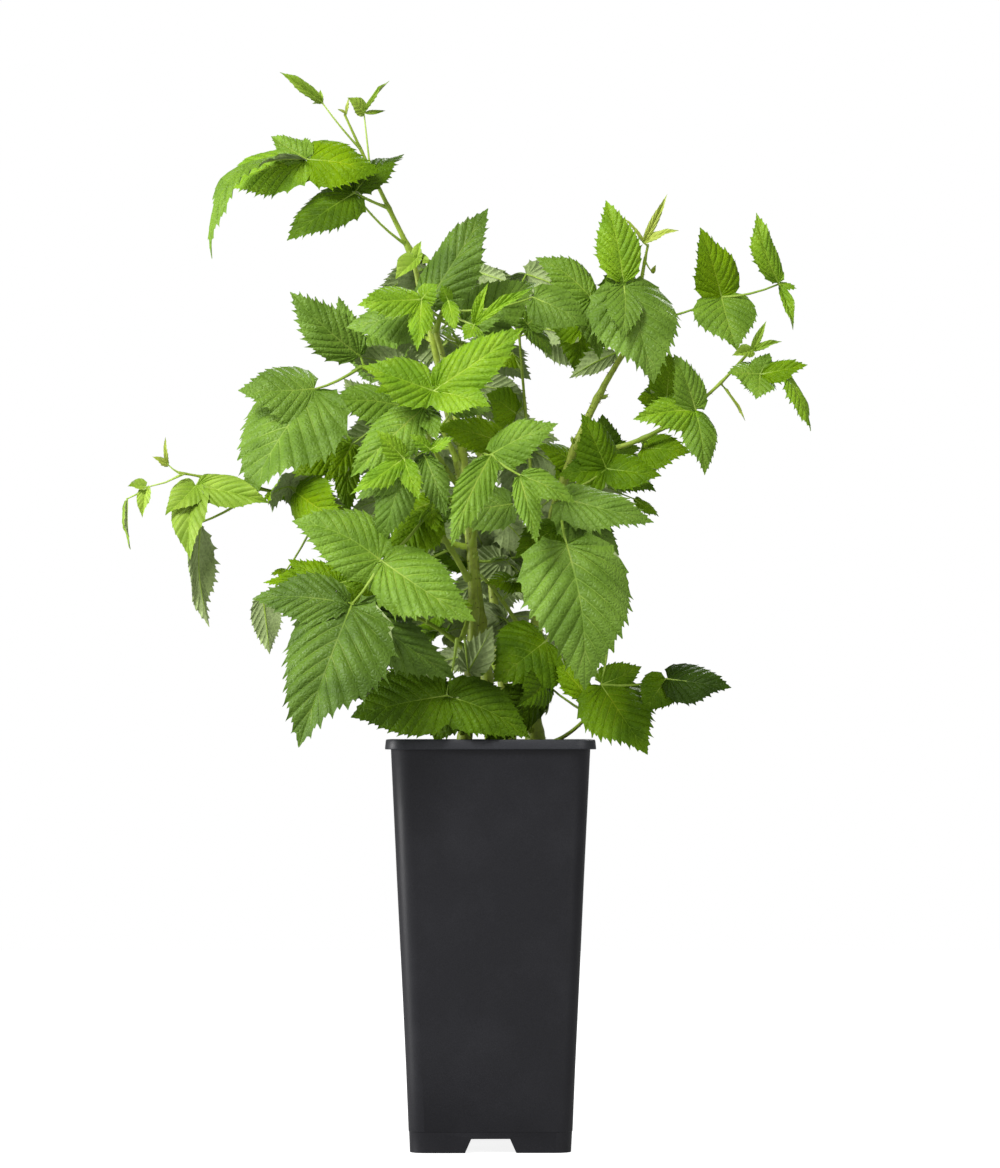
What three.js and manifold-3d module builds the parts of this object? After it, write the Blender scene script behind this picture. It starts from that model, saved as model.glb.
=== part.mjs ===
// A young raspberry plant in a tall square pot: four canes and the leafy shoots that they carry.
// Millimetres, +Z up. The plan is drawn around the pot's own axis and the whole is centred at the end.
import * as THREE from "three";
import { mergeVertices } from "three/addons/utils/BufferGeometryUtils.js";
import Module from "manifold-3d";

const wasm = await Module();
wasm.setup();
const { Manifold } = wasm;

// ---------------------------------------------------------------- driving dimensions

const GAP = 0.3; // clear space between neighbouring pieces
const RAD = Math.PI / 180;

const POT = {
  height: 220,
  footHalf: 42.6, // half width of the square foot
  bodyTopHalf: 52.4, // half width just under the rim
  rimHalf: 56.1,
  rimDrop: 5.3, // height of the turned-down rim
  footCorner: 8,
  topCorner: 11,
  wall: 1.3,
  floor: 11.8, // height of the floor's upper face
  floorThick: 1.6,
  notchTop: 20.5, // drain notch in the middle of each side of the foot
  notchFoot: 28,
  notchHigh: 7.5,
  drainHole: 4.5,
  drainReach: 24, // from the axis to each drain hole
};
const SOIL = 206; // height of the compost's surface

// Canes: foot on the compost, belly (the curve's pull), tip, and the thickness at both ends.
const CANES = {
  rightCane: { foot: [25, 2], belly: [14, 0, 345], tip: [76, -8, 435], thick: [11, 4.6] },
  centreCane: { foot: [-16, -14], belly: [2, -18, 330], tip: [-29, -32, 437], thick: [9, 4] },
  leftCane: { foot: [2, 14], belly: [-8, 20, 350], tip: [-43, 5, 483], thick: [9, 3.6] },
  backCane: { foot: [12, 30], belly: [-4, 48, 330], tip: [-8, 74, 430], thick: [8.4, 4] },
};
const FLARE = 0.35; // how much thicker a cane is where it leaves the compost
const CANE_STEPS = 11; // the flare ends at the first of them

// A direction is given by two angles: turn, seen from the front (0 right, 90 up, 180 left),
// and fore, the lean out of that upright plane (positive towards the front).
// A shoot's stem is [turn, fore, length], with a bow upwards and a thickness at both ends.
// A leaf row is: share of the stem where it grows, its stalk [turn, fore, length], then its leaflets
// [turn, fore, length, width, roll]; a leaf of five leaflets goes on with a second stalk and leaflets.
const SHOOTS = {
  highShoot: {
    cane: "leftCane", share: 1, stem: [115, 13, 83], bow: -8, thick: [3.2, 1.2],
    leaves: [
      [0.02, [279, 60, 10], [[77, 22, 10, 10], [225, 19, 18, 16], [336, 24, 10, 9]]],
      [0.06, [139, 34, 43], [[217, 15, 46, 28], [44, -41, 43, 21]]],
      [0.34, [151, 25, 58],
        [[229, 19, 79, 26, 42], [207, -15, 46, 32, 10], [347, -4, 30, 29],
          [146, -15, 23, 17], [96, -42, 18, 10]]],
      [0.62, [95, 2, 33], [[50, 11, 22, 5], [141, 30, 13, 13], [5, -26, 13, 4, 60]]],
      [0.76, [130, 25, 30], [[143, 21, 34, 10], [99, -15, 8, 4], [181, -18, 6, 3]]],
      [1.0, [116, 13, 1], [[80, 0, 9, 3], [156, 33, 6, 3]]],
    ],
  },
  topShoot: {
    cane: "centreCane", share: 1, stem: [63, 47, 22], bow: 4, thick: [3, 1.6],
    leaves: [
      [0.15, [124, 27, 12], [[58, -7, 65, 32], [213, -6, 38, 34]]],
      [0.35, [141, 52, 20], [[187, 20, 36, 20], [266, 30, 33, 14], [43, 12, 12, 14]]],
      [0.3, [338, -13, 13], [[34, -28, 55, 32], [17, 13, 27, 14]]],
      [0.7, [326, 37, 24], [[71, 10, 24, 9], [30, 24, 40, 10], [238, 40, 13, 12]]],
      [0.6, [7, 12, 49], [[333, -4, 33, 28]]],
      [1.0, [84, 65, 2], [[115, 24, 10, 8], [283, 34, 21, 10]]],
    ],
  },
  centreShoot: {
    cane: "centreCane", share: 0.62, stem: [122, 41, 60], bow: -8, thick: [3.4, 2],
    leaves: [
      [1.0, [51, 45, 20], [[162, 16, 41, 29], [39, 0, 51, 29], [343, 23, 34, 25]]],
      [0.92, [75, 55, 13], [[224, 9, 54, 30], [291, 32, 23, 14]]],
      [0.7, [219, 67, 41], [[215, 16, 35, 14], [135, 16, 21, 13], [290, 22, 26, 12]]],
      [0.8, [284, 74, 39], [[144, 17, 14, 8], [25, 25, 15, 8]]],
      [0.5, [205, 44, 31], [[253, 0, 38, 23], [207, -4, 27, 16]]],
      [0.4, [156, 71, 35], [[289, 4, 35, 16]]],
    ],
  },
  frontShoot: {
    cane: "centreCane", share: 0.5, stem: [82, 48, 66], bow: -8, thick: [3.2, 2],
    leaves: [
      [1.0, [352, 71, 12], [[24, 12, 39, 25], [247, 21, 57, 20]], [322, 30, 21],
        [[284, 17, 40, 14], [333, 3, 33, 17]]],
      [0.7, [64, -15, 28], [[168, 6, 37, 22]]],
      [0.5, [3, 19, 19], [[193, 12, 40, 27]]],
    ],
  },
  rightFrontShoot: {
    cane: "rightCane", share: 0.5, stem: [73, 65, 46], bow: 8, thick: [3.4, 2.2],
    leaves: [
      [0.95, [276, 50, 49], [[277, 7, 79, 60]]],
      [1.0, [272, 69, 15], [[345, 4, 50, 24], [320, -23, 46, 30]]],
    ],
  },
  lowLeftShoot: {
    cane: "centreCane", share: 0.42, stem: [124, 37, 48], bow: 4, thick: [3.4, 2.6],
    leaves: [
      [1.0, [226, 34, 40], [[144, -3, 55, 40], [327, 15, 61, 40]], [238, 19, 30],
        [[177, -12, 51, 26], [250, 10, 81, 50], [312, -21, 67, 32]]],
      [0.6, [203, -6, 60], [[155, -15, 32, 20], [175, -20, 42, 16], [338, -1, 20, 24]]],
      [0.4, [193, -8, 105], [[267, 6, 36, 13, 160]]],
    ],
  },
  lowShoot: {
    cane: "centreCane", share: 0.36, stem: [251, 45, 30], bow: -12, thick: [3, 2.2],
    leaves: [
      [1.0, [258, 16, 29],
        [[193, 6, 52, 38], [333, -2, 50, 38], [257, -27, 27, 32], [150, -31, 23, 22]]],
      [0.5, [276, -4, 21], [[62, -4, 28, 20, 180]]],
    ],
  },
  leftShoot: {
    cane: "leftCane", share: 0.72, stem: [161, 21, 47], bow: -4, thick: [3, 1.8],
    leaves: [
      [1.0, [214, 24, 28], [[233, 14, 68, 54], [182, 11, 43, 24]]],
      [0.94, [107, 23, 6], [[138, 14, 52, 34], [110, -9, 36, 15]]],
      [0.5, [266, 52, 20], [[177, 21, 39, 30]]],
      [0.35, [222, 1, 43], [[235, 19, 29, 17], [266, 6, 34, 14], [208, -9, 42, 24]]],
    ],
  },
  leftArm: {
    cane: "leftCane", share: 0.42, stem: [166, 18, 164], bow: 20, thick: [3.6, 1.2],
    leaves: [
      [0.92, [259, -6, 8], [[346, 11, 31, 16], [226, 24, 25, 18], [267, 18, 45, 22]]],
      [0.72, [221, 11, 37], [[275, 4, 60, 26, 120]]],
      [0.98, [204, 17, 21], [[178, 12, 10, 11], [268, 14, 17, 11]], [223, 1, 9], [[274, 4, 29, 6, 60]]],
      [1.0, [135, 23, 8], [[94, 8, 15, 4], [153, 25, 10, 7]]],
      [0.58, [196, -58, 9], [[201, 14, 17, 14, 20]]],
      [0.5, [241, -5, 40], [[329, -6, 37, 20], [198, 25, 10, 6]]],
    ],
  },
  rightTopShoot: {
    cane: "rightCane", share: 1, stem: [81, 9, 51], bow: 6, thick: [3.6, 1.2],
    leaves: [
      [1.0, [89, 39, 3], [[126, 7, 17, 4], [60, 8, 29, 7], [21, 22, 21, 8]]],
      [0.8, [301, 11, 8], [[66, 23, 5, 4]]],
      [0.5, [186, 62, 27], [[98, 0, 45, 24], [294, 14, 58, 40], [281, 27, 41, 18]]],
      [0.3, [174, 39, 31], [[277, 7, 34, 20], [144, 0, 37, 26], [112, -14, 17, 9]]],
      [0.15, [15, 13, 49], [[104, 9, 37, 30], [273, 25, 33, 34]], [8, 7, 31],
        [[108, 6, 40, 15], [347, -11, 11, 5], [286, 13, 27, 9]]],
      [0.2, [185, -41, 36], [[259, -17, 27, 24], [172, -11, 22, 26]]],
      [0.1, [233, -45, 21], [[213, 8, 30, 14, 180]]],
    ],
  },
  rightShoot: {
    cane: "rightCane", share: 0.7, stem: [30, 14, 105], bow: -34, thick: [3.2, 1.4],
    leaves: [
      [0.72, [210, 68, 13], [[184, 18, 34, 24], [115, 9, 29, 25], [278, 15, 33, 21]]],
      [0.95, [331, 34, 15], [[17, 10, 25, 13], [179, 20, 18, 18], [267, 44, 20, 17], [55, -9, 12, 12]],
        [342, 11, 11], [[292, 10, 34, 15, -28]]],
      [1.0, [73, 20, 4], [[17, 7, 16, 5], [64, 0, 15, 4], [196, 36, 10, 9]]],
      [0.84, [340, -64, 3], [[302, 0, 21, 3]]],
      [0.38, [200, -65, 5], [[2, 12, 27, 21]]],
      [0.5, [83, -53, 37], [[90, -10, 26, 22], [182, -2, 15, 25], [44, -14, 10, 11]]],
    ],
  },
  shadedShoot: {
    cane: "rightCane", share: 0.55, stem: [52, -33, 43], bow: 4, thick: [3, 2],
    leaves: [
      [1.0, [89, -48, 3], [[89, -4, 23, 22], [170, -6, 18, 14], [11, -9, 23, 18]]],
      [0.85, [357, 59, 12], [[333, 4, 31, 22]]],
      [0.5, [104, -9, 12], [[158, 11, 22, 20], [228, 15, 16, 18]]],
      [0.7, [328, 6, 27], [[325, -6, 17, 9]]],
    ],
  },
  lowRightShoot: {
    cane: "rightCane", share: 0.42, stem: [314, 25, 49], bow: 8, thick: [3, 2.2],
    leaves: [
      [0.25, [254, 23, 40], [[218, 12, 37, 34]]],
      [1.0, [264, 17, 34], [[301, 22, 48, 48], [14, -16, 22, 14]], [353, 14, 16],
        [[4, 9, 51, 30], [327, 0, 23, 20]]],
    ],
  },
  basalShoot: {
    cane: "rightCane", share: 0.04, stem: [34, 39, 37], bow: -6, thick: [2.6, 1.8],
    leaves: [
      [1.0, [53, 17, 7], [[130, -13, 37, 16]]],
    ],
  },
  thinShoot: {
    cane: "rightCane", share: 0.45, stem: [95, -10, 121], bow: -8, thick: [2.2, 1.4],
    leaves: [
      [0.7, [221, -23, 7], [[147, 11, 20, 32]]],
      [0.85, [116, -26, 13], [[226, 11, 11, 15]]],
      [1.0, [51, -19, 8], [[137, 14, 17, 16], [45, 8, 14, 17], [308, -10, 22, 15]]],
    ],
  },
};

// Shoots that show from the sides and the back, and between the front leaves: their leaves are dealt
// out by a rule, "size" being the longest leaflet.
const DEALT_SHOOTS = {
  backTop: {
    cane: "backCane", share: 1, stem: [140, -30, 32], bow: 4, thick: [3, 1.4], count: 4, size: 42,
  },
  backLeft: {
    cane: "backCane", share: 0.78, stem: [168, -40, 58], bow: 8, thick: [3.2, 1.6], count: 5, size: 50,
  },
  backRight: {
    cane: "backCane", share: 0.62, stem: [90, -66, 54], bow: 8, thick: [3.2, 1.6], count: 5, size: 48,
  },
  backMiddle: {
    cane: "backCane", share: 0.44, stem: [132, -70, 62], bow: 12, thick: [3.2, 1.6], count: 5, size: 50,
  },
  backLow: {
    cane: "backCane", share: 0.22, stem: [140, -54, 48], bow: 10, thick: [3, 1.6], count: 4, size: 50,
  },
  leftBack: {
    cane: "leftCane", share: 0.5, stem: [155, -24, 46], bow: 6, thick: [3, 1.4], count: 4, size: 42,
  },
  rightBack: {
    cane: "rightCane", share: 0.34, stem: [100, -62, 44], bow: 4, thick: [3, 1.4], count: 4, size: 40,
  },
  innerLeft: {
    cane: "centreCane", share: 0.26, stem: [150, 6, 38], bow: 4, thick: [2.8, 1.4], count: 3, size: 44,
  },
  innerRight: {
    cane: "rightCane", share: 0.26, stem: [125, 14, 38], bow: 4, thick: [2.8, 1.4], count: 3, size: 38,
  },
  innerFront: {
    cane: "centreCane", share: 0.7, stem: [120, 16, 30], bow: 4, thick: [2.8, 1.4], count: 3, size: 38,
  },
};
const STALK_SHARE = 0.5; // length of a leaf stalk against its end leaflet
const SIDE_LEAFLET = 0.78; // length of a side leaflet against the end one
const SIDE_TURN = 68; // angle between the end leaflet and each side leaflet
const LEANS = [0, 20, -20, 40]; // a dealt leaflet without room leans until it has some, or is left out

// Leaflet: place along the blade and share of the half width, from its own stalk to the tip.
const OUTLINE = [[0.12, 0.78], [0.42, 1], [0.78, 0.5], [1, 0]];
const SMALL_OUTLINE = [[0.3, 1], [0.72, 0.55], [1, 0]];
const SLIM = 2.9; // a blade longer than this, against its width, arches more than twice as much
const STALK = 0.9; // radius of a leaf's stalk
const NECK = 0.5; // radius of a leaflet's own stalk
const END_NECK = 0.16; // length of that stalk on an end leaflet, of the whole
const SIDE_NECK = 0.06;
const THICKNESS = 0.014; // of the blade's length, at the midrib
const ARCH = 0.09; // rise of the blade's middle over the line from stalk to tip
const UP_PULL = 0.5; // a blade looks up, to the front or the back, and away from the middle
const FRONT_PULL = 0.85;
const OUT_PULL = 0.25;

// ---------------------------------------------------------------- helpers

const vec = (x, y, z) => new THREE.Vector3(x, y, z);
const UP = vec(0, 0, 1);

function direction([turn, fore]) {
  const flat = Math.cos(fore * RAD);
  return vec(flat * Math.cos(turn * RAD), -Math.sin(fore * RAD), flat * Math.sin(turn * RAD));
}

function solidOf(geometry) {
  geometry.deleteAttribute("normal");
  geometry.deleteAttribute("uv");
  const merged = mergeVertices(geometry, 1e-3);
  return new Manifold(new wasm.Mesh({
    numProp: 3,
    vertProperties: merged.attributes.position.array,
    triVerts: new Uint32Array(merged.index.array),
  }));
}

function reshape(geometry, move) {
  const places = geometry.attributes.position;
  const place = vec(0, 0, 0);
  for (let i = 0; i < places.count; i += 1) {
    place.fromBufferAttribute(places, i);
    places.setXYZ(i, ...move(place, i).toArray());
  }
  return geometry;
}

// A capped cylinder laid along a curve, its radius given for each share of the length.
function tube(curve, radius, sides, steps) {
  const chord = curve.getPoint(1).sub(curve.getPoint(0)).normalize();
  const guide = Math.abs(chord.y) < 0.8 ? vec(0, 1, 0) : vec(1, 0, 0);
  return reshape(new THREE.CylinderGeometry(1, 1, 1, sides, steps), (p) => {
    const share = p.y + 0.5;
    const along = curve.getTangent(share);
    const across = vec(0, 0, 0).crossVectors(guide, along).normalize();
    const third = vec(0, 0, 0).crossVectors(across, along);
    const r = radius(share);
    return curve.getPoint(share).addScaledVector(across, p.x * r).addScaledVector(third, p.z * r);
  });
}

function bowed(start, end, bow) {
  const pull = start.clone().add(end).multiplyScalar(0.5).addScaledVector(UP, bow);
  return new THREE.QuadraticBezierCurve3(start, pull, end);
}

const taper = ([first, last]) => (share) => (first + (last - first) * share) / 2;

// Repeatable numbers from 0 to 1.
function dice(seed) {
  let state = seed;
  return () => {
    state = (Math.imul(state, 1664525) + 1013904223) >>> 0;
    return state / 4294967296;
  };
}

// ---------------------------------------------------------------- pot and compost

// A square "lathe": each profile row is [half width, corner radius, height].
function squareTurned(profile) {
  const arc = 3;
  const around = 4 * (arc + 1);
  const points = profile.map(([half, , z]) => new THREE.Vector2(half, z));
  const lathe = new THREE.LatheGeometry(points, around);
  return reshape(lathe, (p, i) => {
    const [half, corner, z] = profile[i % profile.length];
    const place = Math.floor(i / profile.length) % around;
    const quarter = Math.floor(place / (arc + 1));
    const angle = (quarter + (place % (arc + 1)) / arc) * 90 * RAD;
    const middle = (quarter * 90 + 45) * RAD;
    const r = Math.min(corner, half);
    const reach = (half - r) * Math.SQRT2;
    return vec(
      reach * Math.cos(middle) + r * Math.cos(angle),
      reach * Math.sin(middle) + r * Math.sin(angle),
      z,
    );
  });
}

function makePot() {
  const P = POT;
  const under = P.height - P.rimDrop;
  const lipIn = P.rimHalf - 1.5;
  const floorDown = P.floor - P.floorThick;
  const inTop = P.bodyTopHalf - P.wall;
  const inFoot = P.footHalf + 0.2 - P.wall;
  const body = solidOf(squareTurned([
    [0, 0, floorDown],
    [inFoot, P.footCorner - P.wall, floorDown],
    [inFoot - 0.2, P.footCorner - P.wall, 0],
    [P.footHalf, P.footCorner, 0],
    [P.footHalf + 0.2, P.footCorner, P.floor],
    [P.bodyTopHalf, P.topCorner, under],
    [P.bodyTopHalf + 0.1, P.topCorner, P.height - 2],
    [lipIn, P.topCorner + 2, P.height - 2],
    [lipIn, P.topCorner + 2, under],
    [P.rimHalf, P.topCorner + 3, under],
    [P.rimHalf, P.topCorner + 3, P.height - 0.8],
    [P.rimHalf - 0.8, P.topCorner + 2.4, P.height],
    [inTop + 0.2, P.topCorner - P.wall, P.height],
    [inTop, P.topCorner - P.wall, under],
    [inFoot, P.footCorner - P.wall, P.floor],
    [0, 0, P.floor],
  ]));
  const outline = new THREE.Shape([
    new THREE.Vector2(-P.notchFoot / 2, -1),
    new THREE.Vector2(P.notchFoot / 2, -1),
    new THREE.Vector2(P.notchTop / 2, P.notchHigh),
    new THREE.Vector2(-P.notchTop / 2, P.notchHigh),
  ]);
  const notch = new THREE.ExtrudeGeometry(outline, { depth: 3 * P.footHalf, bevelEnabled: false });
  notch.rotateX(90 * RAD).translate(0, 1.5 * P.footHalf, 0);
  const frontNotch = solidOf(notch);
  const sideNotch = frontNotch.rotate([0, 0, 90]);
  const holes = [0, 1, 2, 3].map((quarter) => {
    const hole = new THREE.CylinderGeometry(P.drainHole, P.drainHole, 4 * P.floorThick, 12);
    const angle = (45 + 90 * quarter) * RAD;
    const reach = P.drainReach * Math.SQRT2;
    hole.rotateX(90 * RAD).translate(reach * Math.cos(angle), reach * Math.sin(angle), P.floor);
    return solidOf(hole);
  });
  return [frontNotch, sideNotch, ...holes].reduce((pot, cutter) => pot.subtract(cutter), body);
}

function makeCompost() {
  const P = POT;
  const rise = (SOIL - P.floor) / (P.height - P.rimDrop - P.floor);
  const inFoot = P.footHalf + 0.2 - P.wall;
  const inTop = P.bodyTopHalf - P.wall;
  const topHalf = inFoot + (inTop - inFoot) * rise - 1.2 * GAP;
  const topCorner = P.footCorner + (P.topCorner - P.footCorner) * rise - P.wall - GAP;
  return solidOf(squareTurned([
    [0, 0, P.floor + GAP],
    [inFoot - 1.2 * GAP, P.footCorner - P.wall - GAP, P.floor + GAP],
    [topHalf, topCorner, SOIL],
    [0, 0, SOIL],
  ]));
}

// ---------------------------------------------------------------- canes

for (const cane of Object.values(CANES)) {
  const [x, y] = cane.foot;
  cane.curve = new THREE.QuadraticBezierCurve3(
    vec(x, y, SOIL + GAP), vec(...cane.belly), vec(...cane.tip),
  );
  const plain = taper(cane.thick);
  cane.radius = (share) => plain(share) * (1 + FLARE * Math.max(0, 1 - share * CANE_STEPS));
}

// A cane's cut foot lies flat on the compost.
function makeCane(cane) {
  const geometry = tube(cane.curve, cane.radius, 8, CANE_STEPS);
  return solidOf(reshape(geometry, (p) => {
    if (p.z < SOIL + 3) p.z = SOIL + GAP;
    return p;
  }));
}

// ---------------------------------------------------------------- leaves

// Where a leaflet's upper face looks.
function facing(base, along, shoot, roll) {
  const away = vec(base.x, base.y, 0).normalize();
  const look = UP.clone().multiplyScalar(UP_PULL).addScaledVector(away, OUT_PULL);
  if (shoot.count) look.addScaledVector(away, FRONT_PULL);
  else look.y -= FRONT_PULL;
  look.addScaledVector(along, -look.dot(along)).normalize();
  return look.applyAxisAngle(along, roll * RAD);
}

// A thin blade with a keel, on its own short stalk that is sunk a little into the leaf's.
// Each ring is a triangle: two margins above and the midrib below. "spare" swells it to test for room.
function leaflet({ base, along, face, long, wide, neck, plain }, spare = 0) {
  const across = vec(0, 0, 0).crossVectors(face, along);
  const round = Math.min(NECK, 0.06 * long) + spare;
  const half = (wide / 2 + spare) / Math.sin(60 * RAD);
  const thick = Math.max(THICKNESS * long, 0.5) / 1.5 + spare;
  const slim = long / wide > SLIM ? 2.4 : 1;
  const outline = long > 24 && !plain ? OUTLINE : SMALL_OUTLINE;
  const blade = outline.map(([share, spread]) => [
    neck + (1 - neck) * share, half * spread, thick * Math.sqrt(spread),
  ]);
  const rows = [[0, 0, 0], [0.2 / long, round, round], [neck, round, round], ...blade];
  const rings = rows.length - 1;
  return reshape(new THREE.SphereGeometry(1, 3, rings), (p) => {
    const ring = Math.round(Math.acos(THREE.MathUtils.clamp(p.y, -1, 1)) / Math.PI * rings);
    const girth = Math.sin(Math.PI * ring / rings) || 1;
    const [share, width, depth] = rows[rings - ring];
    const rise = ARCH * slim * long * 4 * Math.max(share, 0) * (1 - share);
    return base.clone()
      .addScaledVector(along, share * long)
      .addScaledVector(across, p.z / girth * width)
      .addScaledVector(face, rise + p.x / girth * depth);
  });
}

// The same blade leant up or down.
function leaned(blade, lean) {
  const across = vec(0, 0, 0).crossVectors(blade.along, blade.face);
  const along = blade.along.clone().applyAxisAngle(across, lean * RAD);
  const face = blade.face.clone().applyAxisAngle(across, lean * RAD);
  return { ...blade, along, face };
}

// One leaf row as plain facts: the curves of its stalks and the frames of its leaflets.
function unfold(row, curve, shoot) {
  const [share, stalk, blades, further, endBlades] = row;
  const parts = { stalks: [], blades: [] };
  let from = curve.getPoint(share);
  for (const [reach, leaflets] of [[stalk, blades], [further, endBlades]]) {
    if (!reach) continue;
    const joint = from.clone().addScaledVector(direction(reach), reach[2]);
    const end = joint.clone().addScaledVector(direction(reach), STALK);
    parts.stalks.push(new THREE.LineCurve3(from, end));
    leaflets.forEach(([turn, fore, long, wide, roll = 0], i) => {
      const along = direction([turn, fore]);
      const neck = shoot.count && !i ? END_NECK : SIDE_NECK;
      const face = facing(joint, along, shoot, roll);
      parts.blades.push({ base: joint, along, face, long, wide, neck, plain: Boolean(shoot.count) });
    });
    from = joint;
  }
  return parts;
}

// Dealt leaves: round the stem in turn, spreading less and growing smaller towards the tip.
function dealtLeaves(shoot, seed) {
  const chance = dice(seed);
  const stem = direction(shoot.stem);
  const beside = vec(0, 0, 0).crossVectors(stem, UP).normalize();
  const above = vec(0, 0, 0).crossVectors(beside, stem);
  return Array.from({ length: shoot.count }, (_, i) => {
    const share = 0.15 + 0.85 * i / (shoot.count - 1);
    const turn = (144 * i + 30 * chance()) * RAD;
    const spread = (i === shoot.count - 1 ? 8 : 86 - 40 * share) * RAD;
    const out = stem.clone().multiplyScalar(Math.cos(spread))
      .addScaledVector(beside, Math.cos(turn) * Math.sin(spread))
      .addScaledVector(above, Math.sin(turn) * Math.sin(spread));
    const heading = Math.atan2(out.y, out.x) / RAD;
    const climb = Math.asin(out.z) / RAD;
    const long = shoot.size * (1.05 - 0.4 * share) * (0.9 + 0.2 * chance());
    const hang = 0.5 * climb - 12 - 24 * chance();
    const blades = [[...angles(heading, hang), long, 0.66 * long]];
    for (const side of [-1, 1]) {
      const small = long * SIDE_LEAFLET;
      blades.push([...angles(heading + side * SIDE_TURN, hang / 2), small, 0.6 * small]);
    }
    return [share, [...angles(heading, climb), long * STALK_SHARE], blades];
  });
}

// Compass heading and climb (90 is away from the front) as turn and fore.
function angles(heading, climb) {
  const flat = Math.cos(climb * RAD);
  const x = flat * Math.cos(heading * RAD);
  const y = flat * Math.sin(heading * RAD);
  const z = Math.sin(climb * RAD);
  return [Math.atan2(z, x) / RAD, Math.asin(-y) / RAD];
}

// ---------------------------------------------------------------- shoots

const meets = (a, b) => {
  const p = a.boundingBox();
  const q = b.boundingBox();
  for (let i = 0; i < 3; i += 1) if (p.min[i] > q.max[i] || q.min[i] > p.max[i]) return false;
  return !a.intersect(b).isEmpty();
};

const canes = Object.fromEntries(Object.entries(CANES).map(([name, cane]) => [name, makeCane(cane)]));
const pot = makePot();
const compost = makeCompost();
const limbs = [pot, compost, ...Object.values(canes)];
const shoots = { ...SHOOTS, ...DEALT_SHOOTS };

// Stems first: each starts clear of its cane and runs out from there.
Object.entries(shoots).forEach(([name, shoot], i) => {
  const cane = CANES[shoot.cane];
  const out = direction(shoot.stem);
  const lead = out.clone().multiplyScalar(shoot.stem[2] / 2).addScaledVector(UP, shoot.bow).normalize();
  const rise = cane.curve.getTangent(shoot.share);
  const slope = lead.dot(rise);
  const thick = shoot.thick[0] / 2;
  const start = cane.curve.getPoint(shoot.share);
  if (shoot.share === 1) {
    start.addScaledVector(rise, GAP + thick * Math.sqrt(1 - slope * slope));
  } else {
    const beside = lead.clone().addScaledVector(rise, -slope).normalize();
    start.addScaledVector(beside, cane.radius(shoot.share) + GAP + thick * Math.abs(slope));
  }
  const end = start.clone().addScaledVector(out, shoot.stem[2]);
  shoot.curve = bowed(start, end, shoot.bow);
  shoot.leaves = shoot.leaves ?? dealtLeaves(shoot, 100 + i);
  shoot.rows = shoot.leaves.map((row) => unfold(row, shoot.curve, shoot));
  shoot.own = [solidOf(tube(shoot.curve, taper(shoot.thick), 5, 5))];
  shoot.name = name;
});
const list = Object.values(shoots);
const others = (shoot) => [...limbs, ...list.filter((s) => s !== shoot).flatMap((s) => s.own)];

// Then the stalks, and last the leaflets: what would touch another piece is left out.
for (const shoot of list) {
  const taken = others(shoot);
  shoot.rows = shoot.rows.filter((row) => {
    const room = row.stalks.map((curve) => solidOf(tube(curve, () => STALK + GAP, 6, 1)));
    if (room.some((s) => taken.some((t) => meets(s, t)))) return false;
    shoot.own.push(...row.stalks.map((curve) => solidOf(tube(curve, () => STALK, 3, 1))));
    return true;
  });
}
for (const shoot of list) {
  const taken = others(shoot);
  const placed = [];
  shoot.rows.forEach((row, leaf) => row.blades.forEach((blade) => {
    const near = [...taken, ...placed.filter((p) => p.leaf !== leaf).map((p) => p.solid)];
    for (const lean of shoot.count ? LEANS : [0]) {
      const leant = leaned(blade, lean);
      const room = solidOf(leaflet(leant, GAP));
      if (near.some((t) => meets(room, t))) continue;
      placed.push({ leaf, solid: solidOf(leaflet(leant)) });
      return;
    }
  }));
  shoot.own.push(...placed.map((p) => p.solid));
}

// ---------------------------------------------------------------- assembly

const FINISH = {
  pot: { color: 0x2f2e32, roughness: 0.6 },
  compost: { color: 0x3a2a1e, roughness: 1 },
  cane: { color: 0x66730a, roughness: 0.7 },
  leaves: { color: 0x6f9a3c, roughness: 0.6 },
};

const plant = new THREE.Group();
plant.name = "raspberryCaneInPot";

function addNode(name, solid, finish) {
  const bodies = solid.simplify(0.12).decompose().sort((a, b) => b.volume() - a.volume());
  const { vertProperties, triVerts } = bodies[0].getMesh();
  const geometry = new THREE.BufferGeometry();
  geometry.setAttribute("position", new THREE.BufferAttribute(vertProperties, 3));
  geometry.setIndex(new THREE.BufferAttribute(triVerts, 1));
  const mesh = new THREE.Mesh(geometry, new THREE.MeshStandardMaterial(finish));
  mesh.name = name;
  plant.add(mesh);
}

addNode("pot", pot, FINISH.pot);
addNode("compost", compost, FINISH.compost);
Object.entries(canes).forEach(([name, solid]) => addNode(name, solid, FINISH.cane));
list.forEach((shoot) => addNode(shoot.name, Manifold.union(shoot.own), FINISH.leaves));

// The origin is the middle of the footprint, on the surface that the pot stands on.
const box = new THREE.Box3().setFromObject(plant);
const middle = box.getCenter(vec(0, 0, 0));
plant.children.forEach((mesh) => mesh.geometry.translate(-middle.x, -middle.y, -box.min.z));

export default plant;
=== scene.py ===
# A young raspberry plant in a tall square nursery pot: pot, compost, four canes and their shoots.
import math
import bpy
import bmesh
import numpy as np
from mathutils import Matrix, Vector, kdtree


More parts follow.
